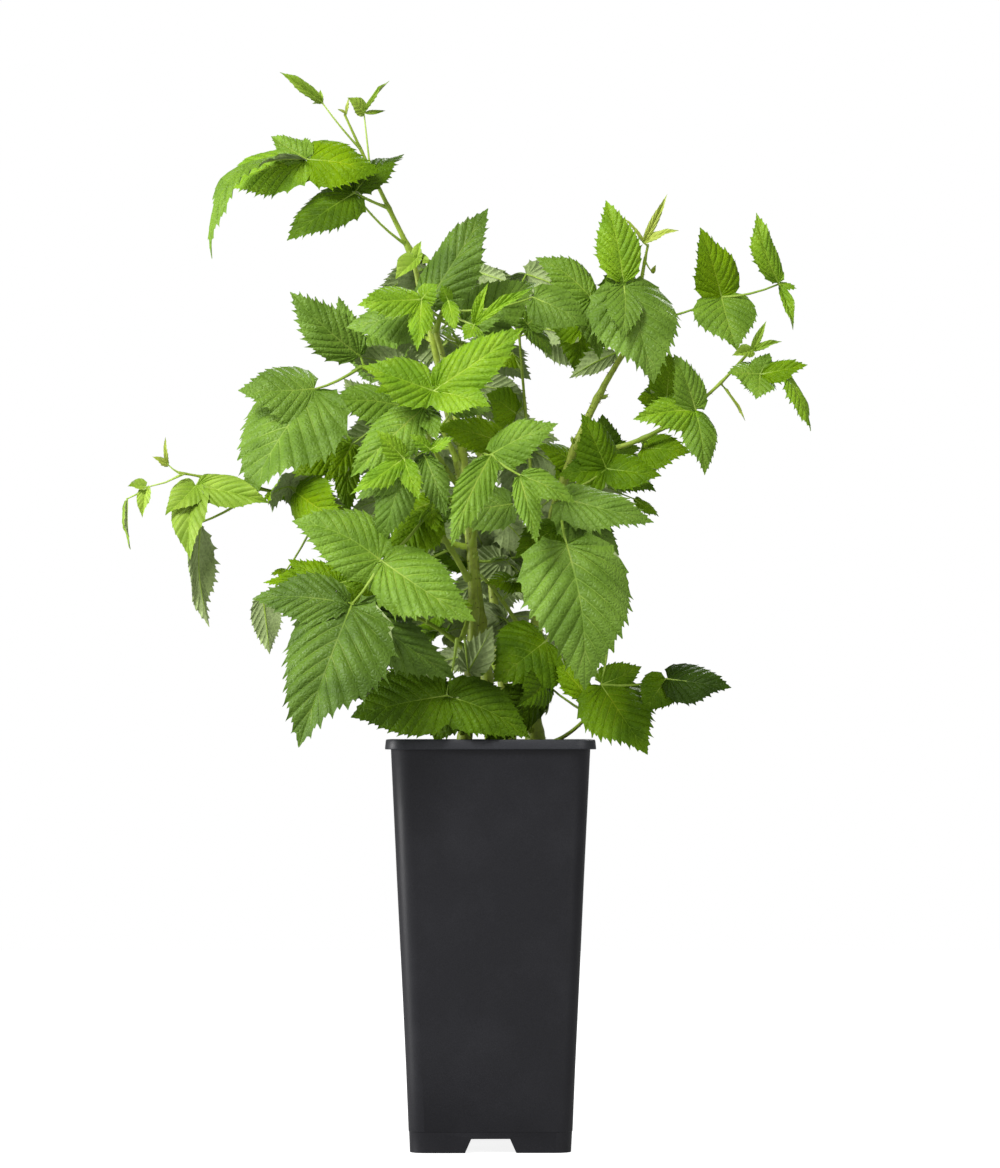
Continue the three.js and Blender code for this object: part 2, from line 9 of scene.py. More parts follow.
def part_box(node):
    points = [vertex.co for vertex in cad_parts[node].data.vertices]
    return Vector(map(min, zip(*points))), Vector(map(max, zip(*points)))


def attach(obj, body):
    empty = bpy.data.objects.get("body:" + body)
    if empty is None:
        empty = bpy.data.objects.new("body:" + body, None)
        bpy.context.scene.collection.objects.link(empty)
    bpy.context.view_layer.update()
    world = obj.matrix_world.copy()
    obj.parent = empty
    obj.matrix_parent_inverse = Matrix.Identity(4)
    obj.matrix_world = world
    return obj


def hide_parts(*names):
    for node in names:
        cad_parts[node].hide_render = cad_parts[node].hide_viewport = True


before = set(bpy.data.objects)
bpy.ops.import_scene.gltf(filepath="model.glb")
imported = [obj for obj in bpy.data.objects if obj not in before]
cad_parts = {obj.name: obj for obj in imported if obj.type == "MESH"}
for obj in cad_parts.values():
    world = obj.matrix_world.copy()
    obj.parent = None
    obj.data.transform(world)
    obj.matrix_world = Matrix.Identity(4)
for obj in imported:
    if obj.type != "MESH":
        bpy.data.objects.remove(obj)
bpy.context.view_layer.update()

mm = 0.001
potLow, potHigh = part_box("pot")
axisX = (potLow.x + potHigh.x) / 2
axisY = (potLow.y + potHigh.y) / 2
plantAxis = np.array([axisX, axisY, 0.0])  # every plan below is in millimetres round this axis
print("frame loaded, pot axis at", round(axisX, 4), round(axisY, 4))


# materials

def newGroup(name, inputs):
    group = bpy.data.node_groups.new(name, "ShaderNodeTree")
    kinds = {float: "NodeSocketFloat", tuple: "NodeSocketColor"}
    for label, value in inputs.items():
        socket = group.interface.new_socket(name=label, in_out="INPUT", socket_type=kinds[type(value)])
        socket.default_value = value
    for label, kind in (("Colour", tuple), ("Roughness", float), ("Height", float)):
        group.interface.new_socket(name=label, in_out="OUTPUT", socket_type=kinds[kind])
    return group, group.nodes.new("NodeGroupInput"), group.nodes.new("NodeGroupOutput")


def wire(tree, *wires):  # each is (from, output, to, input)
    for source, output, target, into in wires:
        tree.links.new(source.outputs[output], target.inputs[into])


def setInputs(node, values):
    for label, value in values.items():
        node.inputs[label].default_value = value
    return node


def noiseNode(nodes, scale, detail, roughness=0.55):
    return setInputs(nodes.new("ShaderNodeTexNoise"), {
        "Scale": scale, "Detail": detail, "Roughness": roughness})


def rangeNode(nodes, fromLow, fromHigh, toLow, toHigh):
    return setInputs(nodes.new("ShaderNodeMapRange"), {
        "From Min": fromLow, "From Max": fromHigh, "To Min": toLow, "To Max": toHigh})


def mathNode(nodes, operation, place=0, value=0.5):
    node = nodes.new("ShaderNodeMath")
    node.operation = operation
    return setInputs(node, {place: value})


def mixColour(nodes, blend="MIX"):
    node = nodes.new("ShaderNodeMix")
    node.data_type = "RGBA"
    node.blend_type = blend
    return node


# Living tissue: broad patches of two greens, and a fine net of veins with the skin domed between them.
def buildTissueGroup():
    group, given, result = newGroup("plantTissue", {
        "Colour": (0.1, 0.2, 0.03, 1), "Shade": (0.05, 0.1, 0.02, 1), "Patch Scale": 55.0,
        "Net Scale": 620.0, "Net Paleness": 0.25, "Roughness": 0.5})
    nodes = group.nodes
    place = nodes.new("ShaderNodeTexCoord")
    patches = noiseNode(nodes, 55.0, 2.0)
    spread = rangeNode(nodes, 0.36, 0.66, 0.0, 1.0)
    tint = mixColour(nodes)
    net = nodes.new("ShaderNodeTexVoronoi")
    net.feature = "DISTANCE_TO_EDGE"
    dome = rangeNode(nodes, 0.0, 0.28, 0.0, 1.0)
    line = mathNode(nodes, "SUBTRACT", 0, 1.0)
    pale = mathNode(nodes, "MULTIPLY")
    lift = mixColour(nodes, "ADD")
    gloss = mathNode(nodes, "MULTIPLY_ADD", 1, 0.12)
    wire(group, (place, "Object", patches, "Vector"), (given, "Patch Scale", patches, "Scale"),
         (patches, "Fac", spread, "Value"), (spread, "Result", tint, "Factor"),
         (given, "Colour", tint, "A"), (given, "Shade", tint, "B"), (place, "Object", net, "Vector"),
         (given, "Net Scale", net, "Scale"), (net, "Distance", dome, "Value"), (dome, "Result", line, 1),
         (line, 0, pale, 0), (given, "Net Paleness", pale, 1), (pale, 0, lift, "Factor"),
         (tint, "Result", lift, "A"), (tint, "Result", lift, "B"), (lift, "Result", result, "Colour"),
         (spread, "Result", gloss, 0), (given, "Roughness", gloss, 2), (gloss, 0, result, "Roughness"),
         (dome, "Result", result, "Height"))
    return group


# Fine grit or grain with paler scuffs, for the canes, the pot, the compost and the bark.
def buildGritGroup():
    group, given, result = newGroup("gritAndScuffs", {
        "Colour": (0.05, 0.05, 0.05, 1), "Scuff Colour": (0.1, 0.1, 0.1, 1), "Grit Scale": 900.0,
        "Scuff Scale": 40.0, "Scuff Amount": 0.3, "Roughness": 0.5})
    nodes = group.nodes
    place = nodes.new("ShaderNodeTexCoord")
    scuffs = noiseNode(nodes, 40.0, 6.0, 0.65)
    spread = rangeNode(nodes, 0.45, 0.75, 0.0, 1.0)
    amount = mathNode(nodes, "MULTIPLY")
    grit = noiseNode(nodes, 900.0, 2.0, 0.7)
    tint = mixColour(nodes)
    speckle = setInputs(mixColour(nodes, "MULTIPLY"), {"Factor": 0.5})
    shade = rangeNode(nodes, 0.3, 0.7, 0.6, 1.4)
    gloss = mathNode(nodes, "MULTIPLY_ADD", 1, 0.25)
    wire(group, (place, "Object", scuffs, "Vector"), (given, "Scuff Scale", scuffs, "Scale"),
         (scuffs, "Fac", spread, "Value"), (spread, "Result", amount, 0),
         (given, "Scuff Amount", amount, 1), (place, "Object", grit, "Vector"),
         (given, "Grit Scale", grit, "Scale"), (amount, 0, tint, "Factor"), (given, "Colour", tint, "A"),
         (given, "Scuff Colour", tint, "B"), (tint, "Result", speckle, "A"), (grit, "Fac", shade, "Value"),
         (shade, "Result", speckle, "B"), (speckle, "Result", result, "Colour"), (amount, 0, gloss, 0),
         (given, "Roughness", gloss, 2), (gloss, 0, result, "Roughness"), (grit, "Fac", result, "Height"))
    return group


tissueGroup = buildTissueGroup()
gritGroup = buildGritGroup()


def linear(level):
    return level / 255 / 12.92 if level < 11 else ((level / 255 + 0.055) / 1.055) ** 2.4


def colour(red, green, blue):  # a colour as seen on a screen, 0 to 255, made linear
    return linear(red), linear(green), linear(blue), 1


def finishWith(name, group, values, bumpDepth, specular, sheen=0.0):
    material = bpy.data.materials.new(name)
    material.use_nodes = True
    nodes = material.node_tree.nodes
    shader = setInputs(nodes["Principled BSDF"], {"Specular IOR Level": specular, "Sheen Weight": sheen})
    skin = nodes.new("ShaderNodeGroup")
    skin.node_tree = group
    setInputs(skin, values)
    bump = setInputs(nodes.new("ShaderNodeBump"), {"Strength": 1.0, "Distance": bumpDepth})
    wire(material.node_tree, (skin, "Height", bump, "Height"), (bump, "Normal", shader, "Normal"),
         (skin, "Colour", shader, "Base Color"), (skin, "Roughness", shader, "Roughness"))
    return material


# Leaf greens, each as (upper side, its shade, vein).
# the darker greens, shade, deep and dark, are partly the leaves' own darker green and partly painted shade
# for leaves lying in the crown's shadow
leafTones = {
    "shade": ((46, 70, 3), (33, 52, 2), (66, 86, 6)),
    "deep": ((81, 112, 6), (59, 86, 3), (107, 131, 11)),
    "dark": ((97, 131, 4), (71, 103, 3), (126, 150, 6)),
    "cool": ((86, 116, 31), (68, 96, 19), (112, 134, 48)),
    "olive": ((114, 149, 3), (88, 122, 3), (140, 163, 5)),
    "leaf": ((107, 140, 44), (86, 118, 26), (136, 160, 65)),
    "fresh": ((112, 147, 39), (90, 124, 23), (141, 163, 58)),
    "light": ((125, 162, 24), (101, 141, 11), (149, 177, 44)),
    "young": ((144, 171, 58), (120, 152, 39), (168, 188, 88)),
    "tip": ((169, 184, 80), (143, 164, 44), (189, 193, 102)),
}
leafSides = {"under": ((144, 160, 106), (122, 140, 82)), "netScale": 430.0, "bump": 0.00025,
             "youngBump": 0.00006, "roughness": 0.44, "gloss": 0.28, "dullGloss": 0.12}


def tissue(name, tint, shade, roughness, paleness, bump, sheen=0.0, gloss=leafSides["gloss"]):
    return finishWith(name, tissueGroup, {
        "Colour": colour(*tint), "Shade": colour(*shade), "Roughness": roughness,
        "Net Scale": leafSides["netScale"], "Net Paleness": paleness,
    }, bump, gloss, sheen)


leafMaterials = {}
for tone, (upper, shade, vein) in leafTones.items():
    gloss = leafSides["dullGloss" if tone in ("shade", "deep", "dark", "olive") else "gloss"]
    leafMaterials[tone] = [
        tissue("leaf-" + tone, upper, shade, leafSides["roughness"], 0.12,
               leafSides["youngBump" if tone in ("young", "tip") else "bump"], 0.0, gloss),
        tissue("vein-" + tone, vein, upper, 0.5, 0.1, 0.00004),
        tissue("underside-" + tone, *leafSides["under"], 0.75, 0.3, 0.0001, 0.2),
    ]
stemMaterials = {
    "stem": tissue("stem-green", (148, 170, 60), (120, 146, 36), 0.45, 0.1, 0.00008),
    "stalk": tissue("stalk-green", (150, 176, 70), (128, 158, 48), 0.45, 0.1, 0.00008),
    "youngStalk": tissue("stalk-young", (172, 196, 92), (150, 180, 66), 0.45, 0.1, 0.00008),
}


def gritty(name, tint, scuff, scale, scuffScale, scuffAmount, roughness, bump, gloss):
    return finishWith(name, gritGroup, {
        "Colour": colour(*tint), "Scuff Colour": colour(*scuff), "Grit Scale": scale,
        "Scuff Scale": scuffScale, "Scuff Amount": scuffAmount, "Roughness": roughness,
    }, bump, gloss)


caneSkin = gritty("cane-skin", (150, 170, 56), (126, 124, 46), 500.0, 30.0, 0.45, 0.5, 0.0001, 0.4)
caneOld = gritty("cane-foot-skin", (92, 88, 34), (104, 74, 40), 600.0, 45.0, 0.9, 0.6, 0.0003, 0.35)
potPlastic = gritty("pot-plastic", (29, 29, 33), (43, 43, 48), 1500.0, 26.0, 0.35, 0.42, 0.00005, 0.3)
# the rim's paler plastic is painted light: the wall's black plastic made lighter where the rim catches the
# lamps
rimPaintedLight = gritty("rim-plastic-painted-light", (45, 46, 50), (62, 63, 67), 1500.0, 26.0, 0.35, 0.42, 0.00005, 0.3)
compostSoil = gritty("compost-soil", (58, 42, 30), (86, 62, 42), 420.0, 120.0, 0.8, 0.85, 0.0009, 0.2)
barkChip = gritty("bark-chip", (92, 62, 38), (128, 94, 62), 500.0, 160.0, 0.8, 0.8, 0.0004, 0.2)
print("materials ready:", len(bpy.data.materials))


# modelling by hand, in edit mode

def clearSelection():
    if bpy.context.mode != "OBJECT":
        bpy.ops.object.mode_set(mode="OBJECT")
    bpy.ops.object.select_all(action="DESELECT")


def pickPiece(piece):
    clearSelection()
    piece.select_set(True)
    bpy.context.view_layer.objects.active = piece


def startEditing(piece):
    pickPiece(piece)
    bpy.ops.object.mode_set(mode="EDIT")
    bpy.ops.mesh.select_all(action="DESELECT")


def pickFaces(piece, wanted):
    bpy.ops.mesh.select_mode(type="FACE")
    bpy.ops.mesh.select_all(action="DESELECT")
    mesh = bmesh.from_edit_mesh(piece.data)
    for face in mesh.faces:
        face.select_set(wanted(face.normal, face.calc_center_median()))
    mesh.select_flush_mode()
    bmesh.update_edit_mesh(piece.data)


def pickEdges(piece, wanted):
    bpy.ops.mesh.select_mode(type="EDGE")
    bpy.ops.mesh.select_all(action="DESELECT")
    mesh = bmesh.from_edit_mesh(piece.data)
    for edge in mesh.edges:
        edge.select_set(wanted(edge.verts[0].co, edge.verts[1].co))
    bmesh.update_edit_mesh(piece.data)


def extrudeBy(move):  # in mm
    bpy.ops.mesh.extrude_region_move(TRANSFORM_OT_translate={"value": [v * mm for v in move]})


def raiseCap(move, factor, centre):  # extrudes the picked faces, then widens or narrows them
    extrudeBy(move)
    bpy.ops.transform.resize(value=(factor, factor, 1), center_override=[v * mm for v in centre])


def endEditing():  # with every face turned outwards
    bpy.ops.mesh.select_all(action="SELECT")
    bpy.ops.mesh.normals_make_consistent(inside=False)
    bpy.ops.object.mode_set(mode="OBJECT")


def applyModifier(piece, kind, **settings):
    pickPiece(piece)
    modifier = piece.modifiers.new(kind.lower(), kind)
    for label, value in settings.items():
        setattr(modifier, label, value)
    bpy.ops.object.modifier_apply(modifier=modifier.name)


def finishPiece(piece, name, materials, replaced, smoothAngle=None):
    pickPiece(piece)
    bpy.ops.object.transform_apply()
    if smoothAngle:
        bpy.ops.object.shade_smooth_by_angle(angle=math.radians(smoothAngle))
    piece.name = name
    piece.data.name = name
    for material in materials:
        piece.data.materials.append(material)
    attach(piece, "root")
    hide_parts(*replaced)
    clearSelection()
    return piece


def cloudTexture(name, size, depth=2):
    texture = bpy.data.textures.new(name, "CLOUDS")
    texture.noise_scale = size
    texture.noise_depth = depth
    return texture


# pot: a square tapered box with a turned-down rim, notched foot and holed floor

potPlan = {
    "footHalf": 43.1, "bodyTopHalf": 53.0, "rimHalf": 56.1, "height": 220.0, "rimDrop": 5.3,
    "footCorner": 8.5, "cornerSegments": 6, "wall": 1.3, "floor": 11.8, "floorUnder": 10.2,
    "stepHeight": 11.0, "step": 0.25, "bodyRings": 6,
    "notchTop": 20.5, "notchFoot": 28.0, "notchHigh": 7.5, "drainHole": 4.5, "drainReach": 24.0,
}


def boxAt(name, low, high):
    bpy.ops.mesh.primitive_cube_add(size=1, location=[(a + b) / 2 * mm for a, b in zip(low, high)])
    piece = bpy.context.object
    piece.name = name
    piece.scale = [(b - a) * mm for a, b in zip(low, high)]
    bpy.ops.object.transform_apply()
    return piece


def makePot():
    p = potPlan
    clearSelection()
    foot = p["footHalf"]
    pot = boxAt("potBody", (-foot, -foot, 0), (foot, foot, 0.6))
    startEditing(pot)
    pickEdges(pot, lambda a, b: abs(a.z - b.z) > 0.3 * mm)
    bpy.ops.mesh.bevel(offset=p["footCorner"] * mm, segments=p["cornerSegments"], affect="EDGES")
    pickFaces(pot, lambda normal, middle: normal.z > 0.9)
    under = p["height"] - p["rimDrop"]
    slope = (p["bodyTopHalf"] - foot) / under
    rows = [(p["stepHeight"], foot + slope * p["stepHeight"]),
            (p["stepHeight"] + 0.3, foot + slope * p["stepHeight"] + p["step"])]
    for ring in range(1, p["bodyRings"] + 1):
        height = p["stepHeight"] + (under - p["stepHeight"]) * ring / p["bodyRings"]
        rows.append((height, foot + slope * height))
    rim = p["rimHalf"]
    inner = p["bodyTopHalf"] - p["wall"]
    top = p["height"]
    within = foot - p["wall"] + slope * p["floor"]
    rows += [(under, rim - 0.3), (under + 0.3, rim), (top - 1.0, rim - 0.4), (top - 0.3, rim - 0.6),
             (top, rim - 0.9), (top, inner + 0.9), (top - 0.3, inner + 0.2), (top - 1.2, inner),
             (under, inner - 0.1), (p["floor"] + 1, within), (p["floor"], within - 0.8)]
    lastHeight, lastHalf = 0.6, foot
    for height, half in rows:
        raiseCap((0, 0, height - lastHeight), half / lastHalf, (0, 0, height))
        lastHeight, lastHalf = height, half
    pickFaces(pot, lambda normal, middle: normal.z < -0.9 and middle.z < 0.01 * mm)
    bpy.ops.mesh.inset(thickness=p["wall"] * mm)
    extrudeBy((0, 0, p["floorUnder"]))
    bpy.ops.object.mode_set(mode="OBJECT")
    cutters = []
    for turn in (0, 90):  # the drain notches, front to back and side to side
        reach = 1.5 * foot
        across = p["notchFoot"] / 2
        cutter = boxAt("notch", (-across, -reach, -1), (across, reach, p["notchHigh"]))
        startEditing(cutter)
        pickFaces(cutter, lambda normal, middle: normal.z > 0.9)
        bpy.ops.transform.resize(value=(p["notchTop"] / p["notchFoot"], 1, 1))
        bpy.ops.object.mode_set(mode="OBJECT")
        cutter.rotation_euler.z = math.radians(turn)
        cutters.append(cutter)
    for quarter in range(4):
        spot = [p["drainReach"] * mm * s for s in ((1, 1), (-1, 1), (-1, -1), (1, -1))[quarter]]
        clearSelection()
        bpy.ops.mesh.primitive_cylinder_add(vertices=24, radius=p["drainHole"] * mm, depth=0.01,
                                            location=(*spot, p["floor"] * mm))
        cutters.append(bpy.context.object)
    for cutter in cutters:
        applyModifier(pot, "BOOLEAN", operation="DIFFERENCE", solver="EXACT", object=cutter)
        bpy.data.objects.remove(cutter)
    applyModifier(pot, "BEVEL", width=0.25 * mm, segments=2, limit_method="ANGLE",
                  angle_limit=math.radians(38))
    warp = cloudTexture("potWarp", 0.09)
    applyModifier(pot, "DISPLACE", texture=warp, strength=0.7 * mm, mid_level=0.5)
    for face in pot.data.polygons:  # the rim is painted paler than the wall: painted light, where the rim catches more of the lamps
        face.material_index = face.center.z > (under - 0.3) * mm
    pot.location = (axisX, axisY, 0)
    return finishPiece(pot, "nursery-pot", [potPlastic, rimPaintedLight], ["pot"], 30)


makePot()
print("pot done")


# compost: a filled, slightly heaped and crumbly block, with chips of bark on it

compostPlan = {
    "top": 206.0, "foot": 12.1, "topHalf": 50.2, "footHalf": 41.6, "cells": 60, "corner": 7.0,
    "lumps": ((16, 3.0), (5, 1.6), (1.8, 0.7)), "chips": 620, "chipSize": (0.7, 2.6),
    "chipLong": (0.8, 2.6), "chipFlat": (0.3, 0.8), "chipRough": 0.3, "chipTip": 0.5, "barkShare": 0.55,
    "seed": 11,
}


def makeCompost():
    c = compostPlan
    clearSelection()
    bpy.ops.mesh.primitive_grid_add(x_subdivisions=c["cells"], y_subdivisions=c["cells"],
                                    size=2 * c["topHalf"] * mm, location=(0, 0, c["top"] * mm))
    compost = bpy.context.object
    bpy.ops.object.transform_apply()
    startEditing(compost)
    for turn in range(4):  # rounds each corner with three cuts
        for lean, share in ((22, 0.74), (45, 0.41), (68, 0.74)):
            angle = math.radians(90 * turn + lean)
            normal = (math.cos(angle), math.sin(angle), 0)
            wide = abs(normal[0]) + abs(normal[1])
            reach = (c["topHalf"] * wide - c["corner"] * share * (wide - 1) * 2) * mm
            bpy.ops.mesh.select_all(action="SELECT")
            bpy.ops.mesh.bisect(plane_co=[n * reach for n in normal], plane_no=normal, clear_outer=True)
    bpy.ops.mesh.select_all(action="SELECT")
    raiseCap((0, 0, c["foot"] - c["top"]), c["footHalf"] / c["topHalf"], (0, 0, c["foot"]))
    endEditing()
    crust = compost.vertex_groups.new(name="crust")
    edge = (c["topHalf"] - 1.0) * mm
    inside = [v.index for v in compost.data.vertices
              if v.co.z > (c["top"] - 1) * mm and max(abs(v.co.x), abs(v.co.y)) < edge]
    crust.add(inside, 1.0, "REPLACE")
    for number, (size, strength) in enumerate(c["lumps"]):
        texture = cloudTexture("lumps%d" % number, size * mm)
        applyModifier(compost, "DISPLACE", texture=texture, strength=strength * mm, mid_level=0.5,
                      direction="Z", vertex_group="crust")
    compost.location = (axisX, axisY, 0)
    return finishPiece(compost, "compost-block", [compostSoil], ["compost"], 60)


# many small pieces in one mesh: each part is (points in mm round the axis, faces, material numbers)
def joinParts(name, parts, materials, replaced, smoothAngle=None):
    points, faces, marks, offset = [], [], [], 0
    for partPoints, partFaces, partMarks in parts:
        points.append(partPoints)
        faces += [[i + offset for i in face] for face in partFaces]
        marks += list(partMarks)
        offset += len(partPoints)
    mesh = bpy.data.meshes.new(name)
    mesh.from_pydata((np.vstack(points) * mm + plantAxis).tolist(), [], faces)
    mesh.polygons.foreach_set("material_index", np.array(marks, dtype=np.int32))
    mesh.update()
    piece = bpy.data.objects.new(name, mesh)
    bpy.context.scene.collection.objects.link(piece)
    return finishPiece(piece, name, materials, replaced, smoothAngle)


def makeChips(compost):
    c = compostPlan
    chance = np.random.default_rng(c["seed"])
    box = np.array([(x, y, z) for z in (-1, 1) for y in (-1, 1) for x in (-1, 1)], float)
    sides = [(0, 2, 3, 1), (4, 5, 7, 6), (0, 1, 5, 4), (2, 6, 7, 3), (0, 4, 6, 2), (1, 3, 7, 5)]
    parts = []
    while len(parts) < c["chips"]:
        x, y = chance.uniform(-c["topHalf"] + 3, c["topHalf"] - 3, 2)
        above = Vector((x * mm + axisX, y * mm + axisY, 0.3))
        hit, spot = compost.ray_cast(above, Vector((0, 0, -1)))[:2]
        if not hit:
            continue
        size = chance.uniform(*c["chipSize"])
        size *= np.array([chance.uniform(*c["chipLong"]), 1.0, chance.uniform(*c["chipFlat"])])
        chip = box * size / 2 * (1 + chance.uniform(-c["chipRough"], c["chipRough"], box.shape))
        turn, tip = chance.uniform(0, 2 * math.pi), chance.uniform(-c["chipTip"], c["chipTip"])
        c1, s1, c2, s2 = math.cos(turn), math.sin(turn), math.cos(tip), math.sin(tip)
        spin = np.array([[c1, -s1, 0], [s1, c1, 0], [0, 0, 1]])
        lean = np.array([[c2, 0, s2], [0, 1, 0], [-s2, 0, c2]])
        middle = np.array(spot) / mm - plantAxis / mm + np.array([0, 0, 0.2])
        mark = int(chance.random() < c["barkShare"])
        parts.append((chip @ lean.T @ spin.T + middle, sides, [mark] * 6))
    joinParts("bark-chips", parts, [compostSoil, barkChip], ["compost"])


makeChips(makeCompost())
print("compost done")


# the plant's plan: a direction is (turn, fore): turn as seen from the front, 0 right, 90 up, 180 left;
# fore the lean towards the front
seatGap = 0.3
soilTop = compostPlan["top"]
upward = np.array([0.0, 0.0, 1.0])
canes = {
    "rightCane": {"foot": (25, 2), "belly": (14, 0, 345), "tip": (76, -8, 435), "thick": (11, 4.6)},
    "centreCane": {"foot": (-16, -14), "belly": (2, -18, 330), "tip": (-29, -32, 437), "thick": (9, 4)},
    "leftCane": {"foot": (2, 14), "belly": (-8, 20, 350), "tip": (-43, 5, 483), "thick": (9, 3.6)},
    "backCane": {"foot": (12, 30), "belly": (-4, 48, 330), "tip": (-8, 74, 430), "thick": (8.4, 4)},
}
canePlan = {
    "flare": 0.35, "flareEnd": 1 / 11, "sides": 16, "step": 2.6, "nodeEvery": 31.0, "nodeSwell": 0.2,
    "slim": 0.76, "nodeLong": 3.0, "relief": 0.5, "prickles": 90, "prickleLong": (0.7, 1.7),
    "prickleThick": 0.35, "budScale": (4.2, 2.6), "seed": 5,
}

